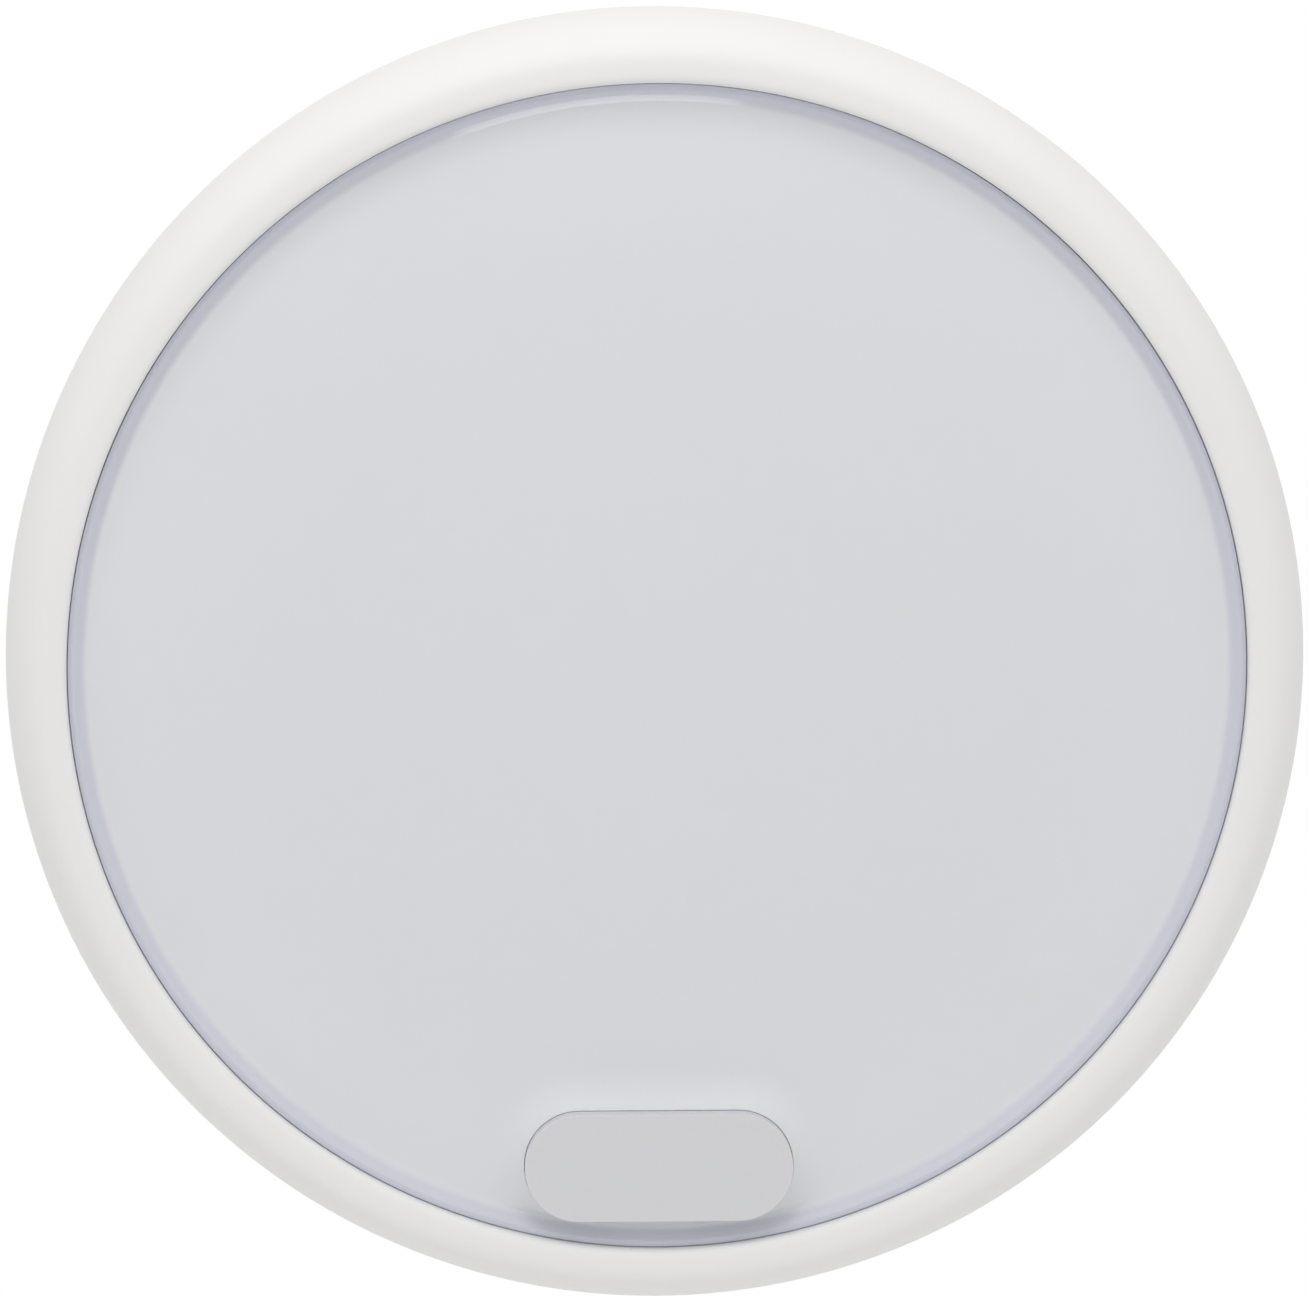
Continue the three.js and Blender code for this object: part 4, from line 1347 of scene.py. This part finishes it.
class THERMOSTAT_OT_electronics(bpy.types.Operator):
    """Builds the circuit boards' parts, the battery, the sounder, the shield and the switch"""

    bl_idname = "thermostat.electronics"
    bl_label = "Electronics"

    def execute(self, context):
        for node in ("main_board", "display_board", "base_board", "climate_sensor"):
            dress(node, circuit_green, 0.04 * MM)
        self.fill_main_board()
        self.fill_display_board()
        self.fill_base_board()
        self.build_battery()
        self.build_sounder()
        dress("shield_can", steel, 0.35 * MM)
        dress("switch_body", dark_plastic, 0.15 * MM)
        dress("ring_sensor", dark_plastic, 0.15 * MM)
        self.build_plunger()
        return {"FINISHED"}

    def fill_main_board(self):
        taken = [box(n) for n in ("battery", "shield_can", "sounder", "switch_body", "ring_sensor")]
        posts = [middle(n) for n in numbered("housing_screw", 3) + numbered("press_spring", 3)]

        def allowed(x, z):
            if math.hypot(x, z) > 33 * MM:
                return False
            clear = all(
                not (a.x - 1.5 * MM < x < b.x + 1.5 * MM and a.z - 1.5 * MM < z < b.z + 1.5 * MM) for a,
                b in taken
            )
            return clear and all(math.hypot(x - p.x, z - p.z) > 4.2 * MM for p in posts)

        chips = [
            (-10 * MM, -23 * MM, 6 * MM, 4 * MM, 0.9 * MM),
            (11 * MM, -24 * MM, 5 * MM, 4 * MM, 0.9 * MM),
            (25 * MM, -6 * MM, 4 * MM, 4 * MM, 0.9 * MM),
            (-26 * MM, 3 * MM, 4 * MM, 5 * MM, 0.9 * MM),
        ]

        def free(x, z):
            near_chip = any(abs(x - c[0]) < c[2] and abs(z - c[1]) < c[3] for c in chips)
            return allowed(x, z) and not near_chip

        small = scattered(44, free, 1.1 * MM, 11, 33 * MM)
        board_parts("main_board", "display_unit", span("main_board")[1], chips + small, 5)

    def fill_display_board(self):
        depth = span("display_board")[1]
        ring = reach("light_guide")

        def allowed(x, z):
            radius = math.hypot(x, z)
            taken = [(middle("occupancy_sensor").x, middle("occupancy_sensor").z, 6 * MM)]
            taken += [
                (32 * MM * math.cos(t), 32 * MM * math.sin(t), 3.6 * MM) for t in around(3, math.pi / 6)
            ]
            clear = all(math.hypot(x - px, z - pz) > room for px, pz, room in taken)
            return clear and ring + 1.8 * MM < radius < 32 * MM

        lamps = [
            (ring * 1.035 * math.cos(t), ring * 1.035 * math.sin(t)) for t in around(12, math.pi / 12)
        ]
        bodies = [
            pulled(rectangle(1.1 * MM, 1.1 * MM, 0.2 * MM, place, 2), depth + 0.06 * MM, depth + 0.9 * MM)
            for place in lamps
        ]
        add_piece("display_lamps", gathered(bodies), "press_head", guide_milky, edge=0.05 * MM)
        small = scattered(26, allowed, 1.1 * MM, 23, 33 * MM)
        board_parts("display_board", "press_head", depth, small, 9)

    def fill_base_board(self):
        depth = span("base_board")[1]
        rows = [(x * 3.4 * MM, -6.1 * MM, 1.1 * MM, 0.6 * MM, 0.5 * MM) for x in (-2, -1, 0, 1, 2)]
        chips = [
            (-5.5 * MM, 7.9 * MM, 5 * MM, 3 * MM, 0.9 * MM),
            (4.5 * MM, 7.9 * MM, 4 * MM, 3 * MM, 0.9 * MM),
        ]
        board_parts("base_board", "wall_base", depth, rows + chips, 3)

    def build_battery(self):
        low, high = box("battery")
        back, front = span("battery")
        size, centre = high - low, middle("battery")
        outline = rectangle(size.x, size.z, 2.4 * MM, (centre.x, centre.z), 6)
        piece = add_piece(
            "battery_pouch",
            pulled(outline, back, front),
            "display_unit",
            battery_foil,
            ["battery"],
            edge=0.9 * MM
        )
        piece.modifiers["edges"].segments = 5
        tape = pulled(
            rectangle(size.x * 0.8, 2.6 * MM, 0.2 * MM, (centre.x, high.z - 2.4 * MM)),
            front - 0.02 * MM,
            front + 0.05 * MM,
        )
        add_piece("battery_tape", tape, "display_unit", slip_plastic)

    def build_sounder(self):
        low, high = box("sounder")
        back, front = span("sounder")
        radius = (high.x - low.x) / 2
        section = rounded(
            [
                (0.0, back),
                (radius, back, 0.1 * MM),
                (radius, front, 0.3 * MM),
                (radius * 0.3, front, 0.1 * MM),
                (radius * 0.28, front - 0.4 * MM),
                (0.0, front - 0.4 * MM),
            ],
            3
        )
        mesh = revolved(section, 64)
        place = middle("sounder")
        mesh.transform(Matrix.Translation((place.x, 0, place.z)))
        add_piece("sounder_body", mesh, "display_unit", dark_plastic, ["sounder"])

    def build_plunger(self):
        low, high = box("switch_plunger")
        back, front = span("switch_plunger")
        radius = (high.x - low.x) / 2
        section = rounded(
            [(0.0, back), (radius, back, 0.05 * MM), (radius, front, 0.35 * MM), (0.0, front)], 5
        )
        add_piece(
            "plunger_button",
            revolved(section, 48),
            "switch_plunger",
            window_grey,
            ["switch_plunger"],
        )


class THERMOSTAT_OT_connector(bpy.types.Operator):
    """Finishes the connector's two halves, its pins and the charging socket"""

    bl_idname = "thermostat.connector"
    bl_label = "Connector and charging socket"

    def execute(self, context):
        for node in ("socket_block", "plug_block"):
            dress(node, dark_plastic, 0.1 * MM)
        for node in ("plug_pins_upper", "plug_pins_lower"):
            dress(node, gold_plate, 0.08 * MM)
        dress("usb_socket", steel, 0.1 * MM)
        return {"FINISHED"}


# ------------------------------------------------------------------ operators: wall base


class THERMOSTAT_OT_base_plate(bpy.types.Operator):
    """Builds the wall plate with its slots, wells, bosses and level saddles"""

    bl_idname = "thermostat.base_plate"
    bl_label = "Base plate"

    def execute(self, context):
        back, front = span("base_plate")
        outer = reach("base_plate")
        flange = 2.0 * MM
        puck = reach("base_cover")
        section = rounded(
            [
                (0.0, back),
                (outer - 0.8 * MM, back, 0.1 * MM),
                (outer, 0.6 * MM, 0.4 * MM),
                (outer, flange, 0.3 * MM),
                (puck, flange, 0.3 * MM),
                (puck, front, 0.1 * MM),
                (puck - 1.4 * MM, front, 0.1 * MM),
                (puck - 1.4 * MM, flange, 0.3 * MM),
                (0.0, flange),
            ],
            4,
        )
        shell = revolved(section, 192)
        root = flange - 0.5 * MM
        level = middle("level_vial")
        bosses = [
            pulled(disc(4.8 * MM, (0, side * WALL_SCREW_RISE), 48), root, front) for side in (1, -1)
        ]
        for node in numbered("base_screw", 4):
            bosses.append(pulled(disc(2.3 * MM, (middle(node).x, middle(node).z), 32), root, front))
        for side in (1, -1):
            x = side * 6.5 * MM
            bosses.append(
                block((x - 1 * MM, -6 * MM, level.z - 3 * MM), (x + 1 * MM, -root, level.z + 3 * MM))
            )
        cuts = [pulled(wire_opening(8), back - 1 * MM, flange + 1 * MM)]
        for side in (1, -1):
            cuts.append(pulled(disc(4.1 * MM, (0, side * WALL_SCREW_RISE), 48), flange, front + 1 * MM))
            cuts.append(
                pulled(
                    rectangle(7.4 * MM, 4.4 * MM, 2.19 * MM, (0, side * WALL_SCREW_RISE)),
                    back - 1 * MM,
                    flange + 1 * MM,
                )
            )
            x = side * (puck + 0.1 * MM)
            cuts.append(block((x - 0.7 * MM, -7.2 * MM, -3.4 * MM), (x + 0.7 * MM, -4.4 * MM, 3.4 * MM)))
        for node in numbered("base_screw", 4):
            cuts.append(
                pulled(disc(1.15 * MM, (middle(node).x, middle(node).z), 24), 3.2 * MM, front + 1 * MM)
            )
        half = box("level_vial")[1].x + 1 * MM
        radius = (box("level_vial")[1].z - level.z) + CLEARANCE
        cuts.append(
            turned_along("x", [(0.0, -half), (radius, -half), (radius, half), (0.0, half)], level, 48)
        )
        mesh = carved(fused(shell, bosses), cuts)
        add_piece(
            "plate_moulding",
            mesh,
            "wall_base",
            satin_white,
            ["base_plate"],
            edge=0.12 * MM,
        )
        return {"FINISHED"}


class THERMOSTAT_OT_base_cover(bpy.types.Operator):
    """Builds the puck's cover and the screws that hold it"""

    bl_idname = "thermostat.base_cover"
    bl_label = "Base cover"

    def execute(self, context):
        back, front = span("base_cover")
        outer = reach("base_cover")
        section = rounded([(0.0, back), (outer, back, 0.1 * MM), (outer, front, 0.6 * MM), (0.0, front)], 5)
        plate = revolved(section, 192)
        behind, ahead = back - 1 * MM, front + 1 * MM
        socket = box("socket_block")
        vial = box("level_vial")
        openings = [
            rectangle(socket[1].x * 2 + 0.6 * MM, socket[1].z * 2 + 0.6 * MM, 0.8 * MM),
            wire_opening(6),
            rectangle(
                vial[1].x * 2 + 0.6 * MM,
                vial[1].z - vial[0].z + 0.6 * MM,
                0.8 * MM,
                (0, middle("level_vial").z),
            ),
            disc(4.4 * MM, (0, WALL_SCREW_RISE), 48),
            disc(4.4 * MM, (0, -WALL_SCREW_RISE), 48),
        ]
        for number in range(1, 7):
            place = middle(f"terminal_lever_{number}")
            side = 1 if place.x > 0 else -1
            openings.append(rectangle(7.1 * MM, 7.6 * MM, 0.6 * MM, (side * LEVER_REACH, place.z)))
        cuts = [pulled(outline, behind, ahead) for outline in openings]
        for node in numbered("base_screw", 4):
            place = (middle(node).x, middle(node).z)
            cuts.append(pulled(disc(1.3 * MM, place, 24), behind, ahead))
            cuts.append(pulled(disc(2.4 * MM, place, 40), back + 0.4 * MM, ahead))
        add_piece(
            "cover_plate",
            carved(plate, cuts),
            "wall_base",
            satin_white,
            ["base_cover"],
            edge=0.15 * MM,
        )
        add_screws(numbered("base_screw", 4), "wall_base", tip_first=True)
        return {"FINISHED"}


class THERMOSTAT_OT_terminals(bpy.types.Operator):
    """Finishes the terminal blocks, their axles, levers and contacts"""

    bl_idname = "thermostat.terminals"
    bl_label = "Terminals"

    def execute(self, context):
        for side in ("right", "left"):
            dress(f"terminal_block_{side}", dark_plastic, 0.15 * MM)
            dress(f"lever_axle_{side}", steel, 0.1 * MM)
        for number in range(1, 7):
            dress(f"terminal_lever_{number}", shell_white, 0.25 * MM)
            dress(f"terminal_contact_{number}", gold_plate, 0.04 * MM)
        return {"FINISHED"}


class THERMOSTAT_OT_level(bpy.types.Operator):
    """Builds the bubble level: tube, liquid, bubble and its two lines"""

    bl_idname = "thermostat.level"
    bl_label = "Bubble level"

    def execute(self, context):
        low, high = box("level_vial")
        radius, half = (high.z - low.z) / 2, high.x
        centre = middle("level_vial")
        bore = 1.7 * MM
        section = rounded(
            [
                (0.0, half - 1.0 * MM),
                (bore, half - 1.0 * MM, 0.3 * MM),
                (bore, -half, 0.1 * MM),
                (radius, -half, 0.4 * MM),
                (radius, half, 0.4 * MM),
                (0.0, half),
            ],
            4,
        )
        add_piece(
            "vial_tube",
            turned_along("x", section, centre),
            "wall_base",
            vial_clear,
            ["level_vial"],
        )
        fluid_low, fluid_high = box("level_fluid")
        reach_x, fluid_radius = fluid_high.x, (fluid_high.z - fluid_low.z) / 2
        section = rounded(
            [
                (0.0, -reach_x),
                (fluid_radius, -reach_x, 0.3 * MM),
                (fluid_radius, reach_x, 0.3 * MM),
                (0.0, reach_x),
            ],
            3,
        )
        fluid = turned_along("x", section, centre)
        bubble = rounded(
            [
                (0.0, -2 * MM),
                (0.8 * MM, -2 * MM, 0.75 * MM),
                (0.8 * MM, 2 * MM, 0.75 * MM),
                (0.0, 2 * MM),
            ],
            6,
        )
        top = centre + Vector((0, -0.35 * MM, 0.35 * MM))
        fluid = carved(fluid, [turned_along("x", bubble, top, 32)])
        add_piece("vial_fluid", fluid, "wall_base", level_fluid, ["level_fluid"])
        lines = []
        for side in (1, -1):
            x = side * 2.6 * MM
            inner, outer = radius, radius + 0.06 * MM
            section = [
                (inner - 0.02 * MM, x - 0.2 * MM),
                (outer, x - 0.2 * MM),
                (outer, x + 0.2 * MM),
                (inner - 0.02 * MM, x + 0.2 * MM),
            ]
            lines.append(turned_along("x", section, centre))
        add_piece("vial_lines", gathered(lines), "wall_base", dark_plastic)
        return {"FINISHED"}


# ------------------------------------------------------------------ operator: stage


class THERMOSTAT_OT_stage(bpy.types.Operator):
    """Sets the pale floor, the soft lights and the camera"""

    bl_idname = "thermostat.stage"
    bl_label = "Stage"

    def execute(self, context):
        scene = context.scene
        self.make_floor(scene)
        self.make_world(scene)
        self.make_softbox(scene, "overhead_softbox", (-0.02, -0.17, 0.21), 0.13, 0.145)
        self.make_camera(scene, scene.thermostat_stage)
        scene.view_settings.view_transform = "Standard"
        scene.view_settings.look = "None"
        return {"FINISHED"}

    def make_floor(self, scene):
        reach_out, drop = 0.2, 0.1
        mesh = pulled(disc(reach_out, facets=96), 0, 0.002)
        mesh.transform(Matrix.Translation((0, 0, -drop)) @ Matrix.Rotation(math.pi / 2, 4, "X"))
        floor = bpy.data.objects.new("floor", mesh)
        scene.collection.objects.link(floor)
        finish = Finish("floor_paint", 0.7)
        cloud = finish.noise(60 * MM, detail=3)
        finish.colour(finish.blended(cloud, (0.9, 0.9, 0.9), (0.92, 0.92, 0.92)))
        fade = finish.ranged(finish.radius("Y"), 1.0, 0.0, reach_out * 0.45, reach_out * 0.98)
        finish.links.new(fade, finish.shader.inputs["Alpha"])
        mesh.materials.append(finish.material)

    def make_world(self, scene):
        world = bpy.data.worlds.new("studio")
        scene.world = world
        world.use_nodes = True
        wiring = Wiring(world.node_tree)
        place = wiring.add("ShaderNodeTexCoord").outputs["Generated"]
        parts = wiring.add("ShaderNodeSeparateXYZ", {0: place})
        level = SKY_LEVEL
        for axis, slope in SKY_SLOPES:
            inputs = {0: parts.outputs[axis], 1: slope, 2: level}
            level = wiring.add("ShaderNodeMath", inputs, operation="MULTIPLY_ADD").outputs[0]
        seen = wiring.add("ShaderNodeLightPath").outputs["Is Camera Ray"]
        strength = wiring.add("ShaderNodeMix", {0: seen, 2: level, 3: 1.0})
        background = wiring.nodes["Background"]
        background.inputs["Color"].default_value = (1.0, 1.0, 1.0, 1)
        wiring.links.new(strength.outputs[0], background.inputs["Strength"])

    def make_softbox(self, scene, name, place, size, power):
        light = bpy.data.lights.new(name, "AREA")
        light.shape = "DISK"
        light.size = size
        light.energy = power
        lamp = bpy.data.objects.new(name, light)
        lamp.location = place
        aim = Vector((0, -0.02, 0)) - Vector(place)
        lamp.rotation_euler = aim.to_track_quat("-Z", "Y").to_euler()
        scene.collection.objects.link(lamp)

    def make_camera(self, scene, stage):
        camera = bpy.data.cameras.new("camera")
        camera.lens = stage.lens
        camera.sensor_width = 36.0
        camera.clip_start = 0.01
        camera.dof.use_dof = False
        eye = bpy.data.objects.new("camera", camera)
        widest = span("control_ring")[1] - scene.thermostat_sizes.ring_crown
        target = Vector((0, -widest, 0)) + Vector(stage.aim)
        a, e = stage.azimuth, stage.elevation
        back = Vector((math.sin(a) * math.cos(e), -math.cos(a) * math.cos(e), math.sin(e)))
        eye.location = target + back * stage.distance
        eye.rotation_euler = (-back).to_track_quat("-Z", "Y").to_euler()
        scene.collection.objects.link(eye)
        scene.camera = eye


# ------------------------------------------------------------------ panel and registration

BUILDERS = [
    THERMOSTAT_OT_control_ring,
    THERMOSTAT_OT_ring_carrier,
    THERMOSTAT_OT_front_lens,
    THERMOSTAT_OT_diffuser,
    THERMOSTAT_OT_occupancy_window,
    THERMOSTAT_OT_display_stack,
    THERMOSTAT_OT_rear_housing,
    THERMOSTAT_OT_retaining_clips,
    THERMOSTAT_OT_press_springs,
    THERMOSTAT_OT_electronics,
    THERMOSTAT_OT_connector,
    THERMOSTAT_OT_base_plate,
    THERMOSTAT_OT_base_cover,
    THERMOSTAT_OT_terminals,
    THERMOSTAT_OT_level,
    THERMOSTAT_OT_stage,
]


class THERMOSTAT_PT_sidebar(bpy.types.Panel):
    bl_idname = "THERMOSTAT_PT_sidebar"
    bl_label = "Wall Thermostat"
    bl_space_type = "VIEW_3D"
    bl_region_type = "UI"
    bl_category = "Thermostat"

    def draw(self, context):
        scene = context.scene
        for settings in (scene.thermostat_sizes, scene.thermostat_colours, scene.thermostat_stage):
            for key in type(settings).__annotations__:
                self.layout.prop(settings, key)
        for builder in BUILDERS:
            self.layout.operator(builder.bl_idname)


SETTINGS = {
    "thermostat_sizes": ThermostatSizes,
    "thermostat_colours": ThermostatColours,
    "thermostat_stage": ThermostatStage,
}


def register():
    for name, group in SETTINGS.items():
        bpy.utils.register_class(group)
        setattr(bpy.types.Scene, name, bpy.props.PointerProperty(type=group))
    for item in (*BUILDERS, THERMOSTAT_PT_sidebar):
        bpy.utils.register_class(item)


def unregister():
    for item in (THERMOSTAT_PT_sidebar, *reversed(BUILDERS)):
        bpy.utils.unregister_class(item)
    for name, group in SETTINGS.items():
        delattr(bpy.types.Scene, name)
        bpy.utils.unregister_class(group)


def main():
    register()
    for builder in BUILDERS:
        group, operator = builder.bl_idname.split(".")
        if getattr(getattr(bpy.ops, group), operator)() != {"FINISHED"}:
            raise RuntimeError(f"{builder.bl_label} wasn't finished")
    bpy.context.view_layer.update()


if __name__ == "__main__":
    main()
